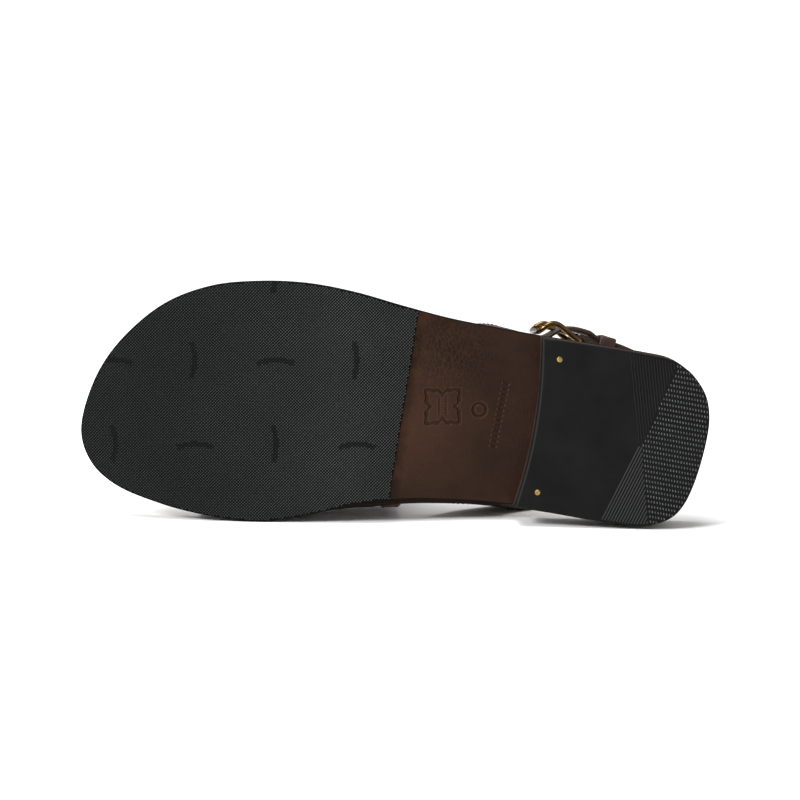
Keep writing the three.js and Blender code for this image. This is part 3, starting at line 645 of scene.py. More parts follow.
def tread_rubber(name, low, high):
    """Rubber whose raised grid has a painted highlight at its tips and painted shade in its pits."""
    n = Nodes(name)
    place, _ = n.shoe()
    wide = n.noise(place, 0.03, 4, 0.6)
    tip_highlight = n.attribute("tint")
    color = n.mix(tip_highlight, low, high)
    color = n.mix(n.range(wide, 0.35, 0.7, 0.0, 0.25), color, low)
    return n.finish(color, n.range(wide, 0.3, 0.7, 0.48, 0.6), None, Specular_IOR_Level=0.1)


# Places on the waist: its wrinkles, the spot of painted highlight, and its three blind stamps
WRINKLES_AT = (113.0, 33.0, 10.0)
HIGHLIGHT_AT = (124.0, 2.0, 6.0)
HIDE_AT = (114.2, 9.9)
HIDE_RADIUS = 7.6
HIDE_TICKS_AT = ((115.9, 10.0), (113.0, 10.0))
RING_AT = (98.3, 8.2)
RING_RADIUS = 2.8
TICK_ROW_AT = (89.6, 5.8)
TICK_ROW_TILT = math.radians(11.5)
# How far the painted highlight round each stamp reaches
STAMP_HIGHLIGHT_REACH = 0.55


def waist_leather():
    """The outsole's leather: waxed, dark, with a painted highlight in the middle, wrinkled, with three blind
    stamps and painted highlights round them.
    """
    n = Nodes("outsole_leather")
    place, (x, y, z) = n.shoe()
    wide = n.noise(place, 0.045, 5, 0.62)
    streaks = n.noise(place, 0.12, 5, 0.6, squeeze=(0.45, 1.6, 1))
    fine = n.noise(place, 1.1, 4, 0.65)
    pores = n.cells(place, 1.7)
    creases = n.noise(place, 0.22, 6, 0.7, squeeze=(1.5, 0.6, 1))
    bent = n.vector("ADD", place, n.vector("SCALE", n.noise(place, 0.5, 3, 0.6)))
    folds = n.cells(n.vector("MULTIPLY", bent, (1.0, 0.55, 1.0)), 0.62, "DISTANCE_TO_EDGE")
    near_folds = n.range(n.vector("DISTANCE", place, WRINKLES_AT), 6, 26, 1.0, 0.0)
    wrinkle = n.math("MULTIPLY", n.range(folds, 0.0, 0.16, 1.0, 0.0), near_folds)
    color = n.mix(n.range(wide, 0.33, 0.67), rgb(28, 16, 8), rgb(39, 24, 15))
    color = n.mix(n.range(streaks, 0.4, 0.7, 0.0, 0.5), color, rgb(42, 22, 12))
    # A painted highlight: the leather is lighter round this spot.
    painted_highlight = n.range(n.vector("DISTANCE", place, HIGHLIGHT_AT), 4, 34, 0.55, 0.0)
    color = n.mix(painted_highlight, color, rgb(64, 41, 27))
    color = n.mix(n.range(fine, 0.45, 0.75, 0.0, 0.4), color, rgb(28, 16, 10))
    color = n.mix(n.math("MULTIPLY", wrinkle, 0.16), color, rgb(84, 58, 42))
    slanted = n.math("ADD", x, n.math("MULTIPLY", y, math.tan(HEEL_TURN)))
    from_grid = n.math("SUBTRACT", slanted, HALF_SOLE_BACK)
    # Lighter in patches just behind the half sole's back edge.
    lighter_by_grid = n.math("MULTIPLY", n.range(from_grid, -7, -1), n.range(wide, 0.45, 0.62, 0.0, 0.32))
    color = n.mix(lighter_by_grid, color, rgb(92, 58, 36))

    def drawn(distance, at, width):
        """A line where a distance is that of at."""
        off = n.math("ABSOLUTE", n.math("SUBTRACT", distance, at))
        return n.range(off, width * 0.5, width, 1.0, 0.0)

    def ring(cx, cy, radius, width):
        flat = n.vector("MULTIPLY", place, (1, 1, 0))
        return drawn(n.vector("DISTANCE", flat, (cx, cy, 0)), radius, width)

    def hide(cx, cy, radius, width):
        """The outline of a hide, with four legs."""
        u, v = n.math("SUBTRACT", x, cx), n.math("SUBTRACT", y, cy)
        turn = n.math("ARCTAN2", v, u)
        legs = n.math("MULTIPLY", n.math("COSINE", n.math("MULTIPLY", turn, 4.0)), -0.24)
        folds = n.math("MULTIPLY", n.math("COSINE", n.math("MULTIPLY", turn, 12.0)), -0.07)
        edge = n.math("MULTIPLY", n.math("ADD", n.math("ADD", legs, folds), 1.0), radius)
        reach = n.math("SQRT", n.math("ADD", n.math("MULTIPLY", u, u), n.math("MULTIPLY", v, v)))
        return drawn(reach, edge, width)

    def ticks(cx, cy, half_x, half_y, tilt, pitch):
        """A row of ticks."""
        c, s = math.cos(tilt), math.sin(tilt)
        u, v = n.math("SUBTRACT", x, cx), n.math("SUBTRACT", y, cy)
        a = n.math("ABSOLUTE", n.math("ADD", n.math("MULTIPLY", u, c), n.math("MULTIPLY", v, s)))
        b = n.math("ABSOLUTE", n.math("SUBTRACT", n.math("MULTIPLY", v, c), n.math("MULTIPLY", u, s)))
        wide_enough = n.range(a, half_x - 0.3, half_x, 1.0, 0.0)
        row = n.math("MULTIPLY", wide_enough, n.range(b, half_y - 0.4, half_y, 1.0, 0.0))
        waves = n.math("COSINE", n.math("MULTIPLY", b, 2 * math.pi / pitch))
        return n.math("MULTIPLY", row, n.range(waves, 0.1, 0.5))

    def stamps(grow):
        marks = [hide(*HIDE_AT, HIDE_RADIUS, 1.0 + grow)]
        marks += [ticks(*middle, 0.5 + grow, 4.2, 0.0, 1.1) for middle in HIDE_TICKS_AT]
        marks.append(ring(*RING_AT, RING_RADIUS, 0.75 + grow))
        marks.append(ticks(*TICK_ROW_AT, 1.3 + grow, 15 + grow, TICK_ROW_TILT, 2.3))
        whole = marks[0]
        for mark in marks[1:]:
            whole = n.math("MAXIMUM", whole, mark)
        return whole

    pressed = stamps(0.0)
    # A painted highlight on a rim round each stamp; the stamps themselves are pressed darker.
    rim_highlights = n.math("SUBTRACT", stamps(STAMP_HIGHLIGHT_REACH), pressed, clamp=True)
    color = n.mix(n.math("MULTIPLY", rim_highlights, 0.5), color, rgb(92, 62, 44))
    color = n.mix(n.math("MULTIPLY", pressed, 0.45), color, rgb(20, 11, 7))
    flat, unpressed = (n.math("SUBTRACT", 1.0, mark) for mark in (wrinkle, pressed))
    reliefs = ((pores, 0.1, 0.5), (fine, 0.18, 0.6), (creases, 0.5, 0.4), (flat, 0.28, 0.6))
    normal = None
    for height, depth, strength in reliefs + ((wide, 1.2, 0.35), (unpressed, 3.0, 1.0)):
        normal = n.bump(height, depth, strength, normal)
    rough = n.range(fine, 0.3, 0.7, 0.36, 0.54)
    return n.finish(color, rough, normal, Specular_IOR_Level=0.1)


def brass(name, dark, light, rough):
    n = Nodes(name)
    place, _ = n.shoe()
    wide = n.noise(place, 0.35, 3, 0.5)
    fine = n.noise(place, 2.0, 3, 0.6)
    color = n.mix(n.range(wide, 0.35, 0.65), dark, light)
    normal = n.bump(fine, 0.006, 0.2)
    return n.finish(color, n.range(fine, 0.3, 0.7, rough - 0.06, rough + 0.08), normal, Metallic=1.0)


def thread(name, color):
    n = Nodes(name)
    place, _ = n.shoe()
    fine = n.noise(place, 3.5, 3, 0.6)
    shade = tuple(c * 0.55 for c in color[:3]) + (1.0,)
    return n.finish(n.mix(n.range(fine, 0.3, 0.7), shade, color), 0.7, n.bump(fine, 0.08, 0.5))


# The tread rubbers run from the painted shade of the pits to the painted highlight of the tips.
SOLE_RUBBER = tread_rubber("sole_rubber", rgb(1, 1, 1), rgb(74, 77, 76))
# The plain rubbers' last colour is the painted highlight where tint is set, on the heel's breast edge.
SOLE_RUBBER_PLAIN = plain_rubber("sole_rubber_plain", rgb(7, 8, 8), rgb(10, 11, 10), rgb(30, 31, 30))
HEEL_RUBBER = plain_rubber("heel_rubber", rgb(15, 16, 15), rgb(22, 23, 22), rgb(40, 42, 41))
HEEL_TREAD = tread_rubber("heel_tread", rgb(4, 4, 3), rgb(100, 103, 101))
OUTSOLE_LEATHER = waist_leather()
SOLE_EDGE = leather("sole_edge", rgb(14, 9, 8), rgb(20, 13, 11), rgb(30, 20, 17), 0.8, 0.7, 0.06, 0.03)
STACK_LEATHER = leather(
    "stack_leather", rgb(34, 20, 18), rgb(52, 34, 30), rgb(70, 48, 42), 0.8, 0.6, 0.1, 0.08
)
INSOLE_LEATHER = leather(
    "insole_leather", rgb(84, 53, 34), rgb(100, 66, 44), rgb(116, 79, 54), 0.8, 0.46, 0.1
)
UPPER_LEATHER = leather("upper_leather", rgb(34, 21, 15), rgb(48, 31, 22), rgb(64, 43, 31), 1.0, 0.4, 0.14)
STRAP_LEATHER = leather("strap_leather", rgb(30, 19, 14), rgb(44, 29, 21), rgb(60, 41, 30), 1.0, 0.4, 0.12)
BRASS = brass("buckle_brass", rgb(92, 72, 42), rgb(116, 92, 56), 0.22)
NAIL_BRASS = brass("nail_brass", rgb(112, 86, 44), rgb(176, 146, 92), 0.42)
THREAD = thread("thread", rgb(74, 54, 40))

# The leather outsole, with the bevelled edge of its inner waist standing out at its top
outsole = Soup()
low, high = plane(outsole_bottom), plane(outsole_top)
profile = edge_profile(0, low, high, 0.8)
add_plate(outsole, sole_shape, profile, low, high, 0.8, 0.8)
rings = outsole.points[0].reshape(-1, 2 * PLATE_STEPS, 3)
in_waist = smoothstep(rings[..., 0], 82, 94) * (1 - smoothstep(rings[..., 0], 140, 178))
in_waist *= lerp(0.8, 1.1, smoothstep(rings[..., 0], 90, 135))
on_wall = np.zeros(len(rings))
on_wall[len(SPINE_SHARES) : len(SPINE_SHARES) + len(profile)] = np.linspace(0, 1, len(profile)) ** 0.8
on_wall[len(SPINE_SHARES) + len(profile) :] = np.linspace(1, 0, len(SPINE_SHARES))
inner_half = np.arange(2 * PLATE_STEPS) >= PLATE_STEPS
rings[..., 1] -= WAIST_FLARE * in_waist * on_wall[:, None] * inner_half[None]
outsole_piece = outsole.piece("outsole_body", (OUTSOLE_LEATHER, SOLE_EDGE), "sole_leather", ["outsole"])
first = 2 * PLATE_STEPS * (len(SPINE_SHARES) + 1)
for face in outsole_piece.data.polygons:
    if all(first <= i < first + 2 * PLATE_STEPS * (len(profile) + len(SPINE_SHARES)) for i in face.vertices):
        face.material_index = 1

# The rubber half sole with its raised grid
half_sole = Soup()
tread = plane(outsole_bottom, -HALF_SOLE)
high = plane(outsole_bottom, -GLUED)
add_plate(half_sole, half_sole_shape, edge_profile(0.1, tread, high, 0.5), tread, high, 0.6, 0.6)
half_sole.piece("half_sole_body", SOLE_RUBBER_PLAIN, "sole_rubber", ["half_sole"], merge=True)

GRID_PITCH = 0.946
GRID_TURN = math.radians(44.8)
GRID_MIDDLE = (200, 5)
GRID_HEIGHT = 0.2
GRID_RIM = 0.45
STUD_HALF = (GRID_PITCH * 0.3, GRID_PITCH * 0.4)
STUD_TOP = 0.6  # the flat top of a stud, as a share of its foot
STUD_SUNK = 0.06
STUD_FACES = ((0, 1, 5, 4), (1, 2, 6, 5), (2, 3, 7, 6), (3, 0, 4, 7), (4, 5, 6, 7))
# Plain arcs in the grid, in rows and each turned a quarter from the next
MARK_START = (151.0, -5.5)
MARK_STEP = (34.6, 36.0)
MARK_RADIUS = 22.0
MARK_LENGTH = 16.0
MARK_WIDTH = 2.2


def inside_sides(p, inset):
    outer, inner = sides_of(inset)
    x, y = p[:, 0], p[:, 1]
    within = (y < side_at(outer, x)) & (y > side_at(inner, x))
    return within & (x > outer[0, 0] + 0.3) & (x < outer[-1, 0] - 0.3)


def add_studs(soup, centres, half, turn, height, floor, tip_highlights, pit_shade_tints=0.0):
    """Small studs under a surface, with tints for the painted highlight of their tips and the painted shade
    of the pits between them.
    """
    c, s = math.cos(turn), math.sin(turn)
    corners = np.array(((-1, -1), (1, -1), (1, 1), (-1, 1)), float) * half
    turned = corners @ np.array(((c, s), (-s, c)))
    foot = centres[:, None, :] + turned[None]
    foot_z = floor(foot[..., 0], foot[..., 1]) + STUD_SUNK
    top = centres[:, None, :] + turned[None] * STUD_TOP
    top_z = np.repeat((floor(centres[:, 0], centres[:, 1]) - height)[:, None], 4, 1)
    points = np.concatenate((np.dstack((foot, foot_z)), np.dstack((top, top_z))), axis=1).reshape(-1, 3)
    faces = [tuple(i * 8 + k for k in face) for i in range(len(centres)) for face in STUD_FACES]
    tip_highlights, pit_shade_tints = (np.broadcast_to(np.asarray(v, float), (len(centres),))[:, None] for v in (tip_highlights, pit_shade_tints))
    soup.add(points, faces, lerp(pit_shade_tints, tip_highlights, np.repeat((0.0, 1.0), 4)[None]).ravel())


def lattice(reach, step_u, step_v, centre):
    """Places of a lattice with two steps, round a centre."""
    u, v = np.meshgrid(np.arange(-reach, reach), np.arange(-reach, reach), indexing="ij")
    return np.array(centre) + u.reshape(-1, 1) * np.array(step_u) + v.reshape(-1, 1) * np.array(step_v)


def clear_of_marks(p):
    """Which places lie clear of the plain arcs."""
    clear = np.full(len(p), True)
    for i in range(4):
        for j in range(3):
            u = p[:, 0] - MARK_START[0] - i * MARK_STEP[0]
            v = p[:, 1] - MARK_START[1] - j * MARK_STEP[1]
            if (i + j) % 2:
                u, v = v, -u
            off = np.abs(np.hypot(u, v + MARK_RADIUS) - MARK_RADIUS)
            run = np.abs(np.arctan2(u, v + MARK_RADIUS)) * MARK_RADIUS
            clear &= (off > MARK_WIDTH / 2) | (run > MARK_LENGTH / 2)
    return clear


studs = Soup()
along, over = math.cos(GRID_TURN) * GRID_PITCH, math.sin(GRID_TURN) * GRID_PITCH
centres = lattice(160, (along, over), (-over, along), GRID_MIDDLE)
centres = centres[(centres[:, 0] > 110) & (centres[:, 0] < SOLE_LENGTH)]
centres = centres[inside_sides(centres, GRID_RIM + 0.3)]
centres = centres[centres[:, 0] > half_sole_line(centres[:, 1], GRID_RIM)]
# Painted highlight on the studs' tips and painted shade in the pits between them, both fading towards the
# toe; on the plain arcs the tips get less painted highlight.
crisp = 1 - 0.8 * smoothstep(centres[:, 0], 140, 250)
tip_highlights = (0.27 + 0.56 * crisp) * (0.85 + 0.15 * noise_rng.random(len(centres)))
tip_highlights *= np.where(clear_of_marks(centres), 1.0, 0.35)
add_studs(studs, centres, STUD_HALF, GRID_TURN, GRID_HEIGHT, tread, tip_highlights, 0.12 * (1 - crisp))
studs.piece("half_sole_grid", SOLE_RUBBER, "sole_rubber", ["half_sole"], sharp=10)

# The heel: two lifts of leather, and the rubber top piece with its ribs and dots
heel_base = Soup()
first, last = TOP_PIECE + 0.1, HEEL_HEIGHT - 0.1
profile = []
for share in np.arange(27) / 26:
    groove = 0.35 * math.exp(-(((share - 0.5) * 14) ** 2)) + 0.5 * (abs(share - 0.5) * 2) ** 12
    inset = lerp(HEEL_INSET, HEEL_INSET - HEEL_TAPER, share) + groove
    profile.append((inset, level(lerp(first, last, share))))
add_plate(heel_base, heel_shape, profile, level(first), level(last), HEEL_INSET + 0.6, HEEL_INSET)
heel_base.piece("heel_lifts", STACK_LEATHER, "heel_leather", ["heel_base"], merge=True)

top_piece = Soup()
radius = 0.6
foot_inset = HEEL_INSET + HEEL_TAPER
bends = np.linspace(0, math.pi / 2, 5)
profile = [(foot_inset + radius * (1 - math.sin(a)), level(radius * (1 - math.cos(a)))) for a in bends]
profile += [(lerp(foot_inset, HEEL_INSET, s), level(lerp(radius, TOP_PIECE - 0.2, s))) for s in (0.5, 1)]
profile += [(HEEL_INSET + 0.2, level(TOP_PIECE))]
floor, roof = level(0), level(TOP_PIECE)
add_plate(top_piece, top_piece_shape, profile, floor, roof, foot_inset + radius, HEEL_INSET + 0.4)
p = top_piece.points[0]
on_edge = (p[:, 2] < radius * 0.8) & (p[:, 0] > breast_line(p[:, 1]) - BREAST_HOLLOW * 1.6)
in_bevel = on_edge & (p[:, 2] > 0.001)
# The rounded edge at the breast gets a painted highlight through its tint.
top_piece.tints[0] = np.where(in_bevel, 0.6, 0.0)
top_piece.piece("heel_top_body", HEEL_RUBBER, "heel_rubber", ["heel_top_piece"], merge=True)

# Where the heel's ribs and dots lie: two fans of ribs that meet at a corner, and dots behind them
RIB_CORNER = (29.2, -5.6)
RIB_TURN_OUTER = math.radians(6)
RIB_TURN_INNER = math.radians(-26.6)
DOT_SLOPE = 0.4315
DOT_SLOPE_INNER = 0.087
RIB_PITCH = 1.208
DOT_STEP = (1.219, 0.227)
DOT_ROW_STEP = (0.227, 2.187)
RIB_FIRST = 1.2  # how far the first outer rib starts in front of the corner
RIB_WIDTH = 0.62
RIB_HEIGHT = 0.22
RIB_SECTION = ((-0.5, 0.05), (-0.32, -1), (0.32, -1), (0.5, 0.05))  # shares of its width and height
INNER_FAN_PITCH = RIB_PITCH * 1.104
DOT_HALF = (0.26, 0.56)
DOT_MIDDLE = (15, 0)
HEEL_RIM = 1.3


def dots_start(y):
    off = y - RIB_CORNER[1]
    return RIB_CORNER[0] + off * np.where(off > 0, -DOT_SLOPE, DOT_SLOPE_INNER)


def add_rib(soup, start, direction, along, tip_highlight):
    """One rib under the heel from start, over the distances of along."""
    side = np.array((-direction[1], direction[0]))
    rings = []
    for s in along:
        p = start + direction * s
        rings.append([(*(p + side * a * RIB_WIDTH), z * RIB_HEIGHT) for a, z in RIB_SECTION])
    faces = grid_faces(len(rings), 4, closed=False) + end_caps(len(rings), 4)
    soup.add(rings, faces, np.tile((0.0, tip_highlight, tip_highlight, 0.0), len(rings)))


def add_fan(soup, ribs, first_rib, turn, reach, outer, tip_highlight):
    """Parallel ribs beside the corner, each kept where it is on the heel and clear of the dots."""
    direction = np.array((math.sin(turn), math.cos(turn))) * (1 if outer else -1)
    s = np.linspace(*reach)
    for k in ribs:
        start = np.array(RIB_CORNER) + first_rib(k)
        p = start + direction * s[:, None]
        own_side = p[:, 1] > RIB_CORNER[1] + 0.6 if outer else p[:, 1] < RIB_CORNER[1] - 0.8
        kept = s[(p[:, 0] > dots_start(p[:, 1]) + 0.15) & own_side & inside_sides(p, HEEL_RIM)]
        if len(kept) > 6:
            add_rib(soup, start, direction, np.linspace(kept[0], kept[-1], 6), tip_highlight)


heel_tread = Soup()
outer_rib = lambda k: (RIB_FIRST - k * RIB_PITCH, 0.0)
inner_rib = lambda k: (-k * INNER_FAN_PITCH - 0.3, -0.6)
# The ribs' tips get a painted highlight through their tint, stronger on the inner fan.
add_fan(heel_tread, range(0, 30), outer_rib, RIB_TURN_OUTER, (-2, 48, 400), True, 0.07)
add_fan(heel_tread, range(-1, 26), inner_rib, RIB_TURN_INNER, (-30, 60, 700), False, 0.25)
dots = lattice(60, DOT_STEP, DOT_ROW_STEP, DOT_MIDDLE)
dots = dots[(dots[:, 0] > 0) & (dots[:, 0] < 40)]
dots = dots[inside_sides(dots, HEEL_RIM - 0.4)]
dots = dots[dots[:, 0] < dots_start(dots[:, 1]) - 0.4]
# Each dot's tip gets a painted highlight of random strength through its tint.
shine = 0.55 + 0.45 * noise_rng.random(len(dots))
add_studs(heel_tread, dots, DOT_HALF, -RIB_TURN_OUTER, RIB_HEIGHT, level(0), shine * 0.85)
heel_tread.piece("heel_tread", HEEL_TREAD, "heel_rubber", ["heel_top_piece"], sharp=25)

# Two brass nails, a little dented, from the radius and height of each ring
NAIL_RINGS = (
    (NAIL_RADIUS, 2.0),
    (NAIL_RADIUS, 0.25),
    (1.22, 0.02),
    (1.0, -0.1),
    (0.65, -0.16),
    (0.3, -0.14),
    (0.05, -0.13),
)
nails = Soup()
for side in sides_of(NAIL_FROM_EDGE):
    centre = side[np.argmax(side[:, 0] > breast_line(side[:, 1]) - NAIL_FROM_BREAST)]
    a = circle(28)
    rings = []
    for radius, z in NAIL_RINGS:
        dent = 0.03 * np.cos(2 * a + centre[0]) * min(1, radius)
        rings.append(np.c_[centre[0] + radius * np.cos(a), centre[1] + radius * np.sin(a), z + dent])
    add_loft(nails, rings)
nails.piece("heel_nails", NAIL_BRASS, "nail_brass", ["heel_nail_1", "heel_nail_2"], sharp=50)


# The insole, with a pressed line along its edge
def insole_top(x, y):
    outer, inner = (side_at(side, x) for side in sides_of(0))
    width, middle = outer - inner, (outer + inner) / 2
    off = np.clip(np.abs(y - middle) / np.maximum(width / 2, 1), 0, 1)
    dish = FOOTBED_DISH * (1 - off**2) * smoothstep(width, 0, BALL_WIDTH / 2)
    return outsole_top(x) + SEAM + INSOLE - dish


def insole_groove(x, y):
    return insole_top(x, y) - 0.35


insole = Soup()
low = plane(outsole_top, GLUED)
profile = edge_profile(0, low, insole_top, 1.0)
profile += [(3.2, insole_top), (3.6, insole_groove), (4.0, insole_groove), (4.4, insole_top)]
add_plate(insole, insole_shape, profile, low, insole_top, 1.2, 4.8)
insole.piece("insole_body", INSOLE_LEATHER, "insole_leather", ["insole"], merge=True)


# The vamp's wall, as a grid of places that all its strips are read from
wall_sides = sides_of(WALL_INSET)


def vamp_section(x, count):
    """The wall's middle at x, from its foot on the inner side to the one on the outer side, evenly spaced."""
    at = x / SOLE_LENGTH
    inner, outer = side_at(wall_sides[1], x), side_at(wall_sides[0], x)
    base = outsole_top(x) - 0.7
    crest = lerp(inner, outer, VAMP.read("crest", at))
    rise = INSTEP_HEIGHT * VAMP.read("height", at) - SWELL_HEIGHT

    def half(foot_y, swell, square):
        widest = foot_y + swell
        t = np.arange(12) / 12
        foot = np.c_[widest - swell * (1 - t) ** 2, base + SWELL_HEIGHT * t]
        angle = np.linspace(0, np.pi / 2, 90)
        out, up = np.maximum(np.cos(angle), 0) ** (2 / square), np.sin(angle) ** (2 / square)
        return np.vstack((foot, np.c_[lerp(crest, widest, out), base + SWELL_HEIGHT + rise * up]))

    near = half(inner, -WALL_SWELL * VAMP.read("innerSwell", at), VAMP.read("inner", at))
    far = half(outer, WALL_SWELL * VAMP.read("outerSwell", at), VAMP.read("outer", at))
    line = np.vstack((near, far[:-1][::-1]))
    return np.c_[np.full(count, x), spread(line, count)]


GRID_X = np.linspace(0.44 * SOLE_LENGTH, 0.86 * SOLE_LENGTH, 130)
GRID_OVER = 321
vamp_grid = np.array([vamp_section(x, GRID_OVER) for x in GRID_X])


def vamp_point(over, back):
    over, back = np.broadcast_arrays(np.asarray(over, float), np.asarray(back, float))
    x = SOLE_LENGTH * lerp(VAMP_EDGES.read("front", over), VAMP_EDGES.read("back", over), back)
    i = np.clip((x - GRID_X[0]) / (GRID_X[1] - GRID_X[0]), 0, len(GRID_X) - 1.001)
    k = np.clip(over * (GRID_OVER - 1), 0, GRID_OVER - 1.001)
    i0, k0 = i.astype(int), k.astype(int)
    u, v = (i - i0)[..., None], (k - k0)[..., None]
    row0 = lerp(vamp_grid[i0, k0], vamp_grid[i0, k0 + 1], v)
    row1 = lerp(vamp_grid[i0 + 1, k0], vamp_grid[i0 + 1, k0 + 1], v)
    return lerp(row0, row1, u)


def vamp_normal(over, back):
    step = 0.012
    across = vamp_point(np.clip(over + step, 0, 1), back) - vamp_point(np.clip(over - step, 0, 1), back)
    along = vamp_point(over, back + step) - vamp_point(over, back - step)
    return unit(np.cross(across, along))


long_pitch = 1 / (LONG_STRIPS - 1 + 2 * END_MARGIN)
long_middles = (np.arange(LONG_STRIPS) + END_MARGIN) * long_pitch


def run_at(over):
    steps = np.linspace(0, 1, 13)
    line = vamp_point(np.asarray(over)[..., None], steps)
    return np.linalg.norm(np.diff(line, axis=-2), axis=-1).sum(-1)


def cross_back(strip, over):
    run = run_at(over)
    pitch = (run - BAND_WIDTH) / (CROSS_STRIPS - 1)
    return (BAND_WIDTH / 2 + strip * pitch) / run, pitch / run


def wave(knots, values, at):
    """Goes from each knot's value to the next, level at the knots."""
    i = np.clip(np.searchsorted(knots, at, "right") - 1, 0, len(knots) - 2)
    t = (at - knots[i]) / (knots[i + 1] - knots[i])
    return lerp(values[i], values[i + 1], smoothstep(t, 0.24, 0.76))


def strip_section(count, half_thickness, square=4.0):
    """A strip's section: shares of its half width, and heights."""
    a = circle(count) + np.pi / count
    c, s = np.cos(a), np.sin(a)
    across = np.sign(c) * np.abs(c) ** (2 / square)
    up = np.sign(s) * np.abs(s) ** (2 / 2.6) * half_thickness
    return across, up


def over_parity(cross, long):
    """1 where the long strip lies outside at a crossing, otherwise -1."""
    return 1 if (cross + long) % 2 == 0 else -1


STRIP_FILL = 0.98  # of the width that the gaps leave


def add_strip(soup, over, back, up, lift=0.0, tint=0.0):
    """A strip of the vamp from its places on the wall, its section's heights and its lift off the wall."""
    heights = (lift + up)[..., None]
    add_loft(soup, vamp_point(over, back) + vamp_normal(over, back) * heights, tint=tint)


weave_long, weave_cross, bands = Soup(), Soup(), Soup()
section_across, section_up = strip_section(18, STRIP_THICKNESS / 2)
for b, middle in enumerate(long_middles):
    knots = np.array([float(cross_back(a, np.array(middle))[0]) for a in range(CROSS_STRIPS)])
    values = np.array([0.0] + [over_parity(a, b) * STRIP_STEP for a in range(1, CROSS_STRIPS - 1)] + [0.0])
    back = np.linspace(knots[0], knots[-1], 120)
    half = long_pitch * (1 - GAP_SHARE) / 2 * STRIP_FILL
    wobble = 0.04 * long_pitch * np.sin(back * 9 + b * 2.1)
    over = middle + wobble[:, None] + section_across[None] * half
    lift = wave(knots, values, back)[:, None]
    add_strip(weave_long, over, back[:, None], section_up[None], lift, noise_rng.random())
for a in range(1, CROSS_STRIPS - 1):
    over = np.linspace(0, 1, 300)
    knots = np.r_[0.0, long_middles, 1.0]
    values = np.r_[0.0, [-over_parity(a, b) * STRIP_STEP for b in range(LONG_STRIPS)], 0.0]
    middle, pitch = cross_back(a, over)
    half = pitch * (1 - GAP_SHARE) / 2 * STRIP_FILL
    back = middle[:, None] + section_across[None] * half[:, None]
    lift = wave(knots, values, over)[:, None]
    add_strip(weave_cross, over[:, None], back, section_up[None], lift, noise_rng.random())
band_across, band_up = strip_section(26, BAND_THICKNESS / 2, 5.0)
for a in (0, CROSS_STRIPS - 1):
    over = np.linspace(0, 1, 260)
    half = BAND_WIDTH / 2 / run_at(over)
    back = cross_back(a, over)[0][:, None] + band_across[None] * half[:, None]
    add_strip(bands, over[:, None], back, band_up[None])
weave_long.piece("vamp_long_strips", UPPER_LEATHER, "upper_leather", ["vamp"])
weave_cross.piece("vamp_cross_strips", UPPER_LEATHER, "upper_leather", ["vamp"])
bands.piece("vamp_bands", UPPER_LEATHER, "upper_leather", ["vamp"])

# Stitches: short threads that dip into the leather at both ends
STITCH_PITCH = 3.0
STITCH_LENGTH = 2.3
STITCH_SHAPE = ((0, -0.35), (0.18, 0.08), (0.5, 0.16), (0.82, 0.08), (1, -0.35))  # share of length, height
THREAD_RADIUS = 0.2


def add_stitches(soup, line, normals):
    lengths = lengths_of(line)
    a = circle(6)[:, None]
    for start in np.arange(STITCH_PITCH * 0.5, lengths[-1] - STITCH_LENGTH, STITCH_PITCH):
        rings = []
        for share, rise in STITCH_SHAPE:
            at = start + share * STITCH_LENGTH
            p, q = (read_line(line, lengths, place) for place in (at, at + 0.2))
            n = unit(read_line(normals, lengths, at))
            side = unit(np.cross(q - p, n))
            rings.append(p + n * rise + THREAD_RADIUS * (np.cos(a) * side + np.sin(a) * n))
        add_loft(soup, rings)


stitches = Soup()
over = np.linspace(0.02, 0.98, 400)
for a in (0, CROSS_STRIPS - 1):
    for offset in (-0.34, 0.34):  # of the band's width, from its middle
        back = cross_back(a, over)[0] + offset * BAND_WIDTH / run_at(over)
        normal = vamp_normal(over, back)
        add_stitches(stitches, vamp_point(over, back) + normal * (BAND_THICKNESS / 2 - 0.08), normal)


# The ankle's surface, which the straps lie on
edge_sides = sides_of(0)
edge_lengths = [lengths_of(side) for side in edge_sides]


def edge_point(along):
    along = np.asarray(along, float)
    parts = [read_line(side, lengths, np.abs(along)) for side, lengths in zip(edge_sides, edge_lengths)]
    return np.where((along >= 0)[..., None], *parts)


def edge_inward(along):
    d = edge_point(along + 4) - edge_point(along - 4)
    return unit(np.stack((d[..., 1], -d[..., 0]), axis=-1))


def ankle_point(along, height):
    along, height = np.broadcast_arrays(np.asarray(along, float), np.asarray(height, float))
    level_at = height / ANKLE_HEIGHT
    share = np.abs(along) / SOLE_LENGTH
    waist = smoothstep(share, INNER_REACH, WAIST_REACH)
    inner = lerp(ANKLE.read("inner", level_at), ANKLE.read("waist", level_at), waist)
    forward = np.where(along >= 0, ANKLE.read("outer", level_at), inner)
    reach = np.where(along >= 0, OUTER_REACH, INNER_REACH)
    inset = lerp(ANKLE.read("back", level_at), forward, smoothstep(share, 0, reach)) * ANKLE_INSET
    plan = edge_point(along) + edge_inward(along) * inset[..., None]
    return np.concatenate((plan, (outsole_top(plan[..., 0]) + height)[..., None]), axis=-1)


def strap_place(along, across, out):
    along, across, out = np.broadcast_arrays(*(np.asarray(v, float) for v in (along, across, out)))
    step = 1.0
    middle_at = lambda a: STRAP_LINE.read("middle", a / SOLE_LENGTH) * ANKLE_HEIGHT
    slope = np.arctan((middle_at(along + step) - middle_at(along - step)) / (2 * step))
    a = along - across * np.sin(slope)
    h = middle_at(along) + across * np.cos(slope)
    forward = ankle_point(a + step, h) - ankle_point(a - step, h)
    upward = ankle_point(a, h + step) - ankle_point(a, h - step)
    return ankle_point(a, h) + unit(np.cross(upward, forward)) * out[..., None]


def strap_width(along):
    return STRAP_WIDTH * STRAP_LINE.read("width", along / SOLE_LENGTH)


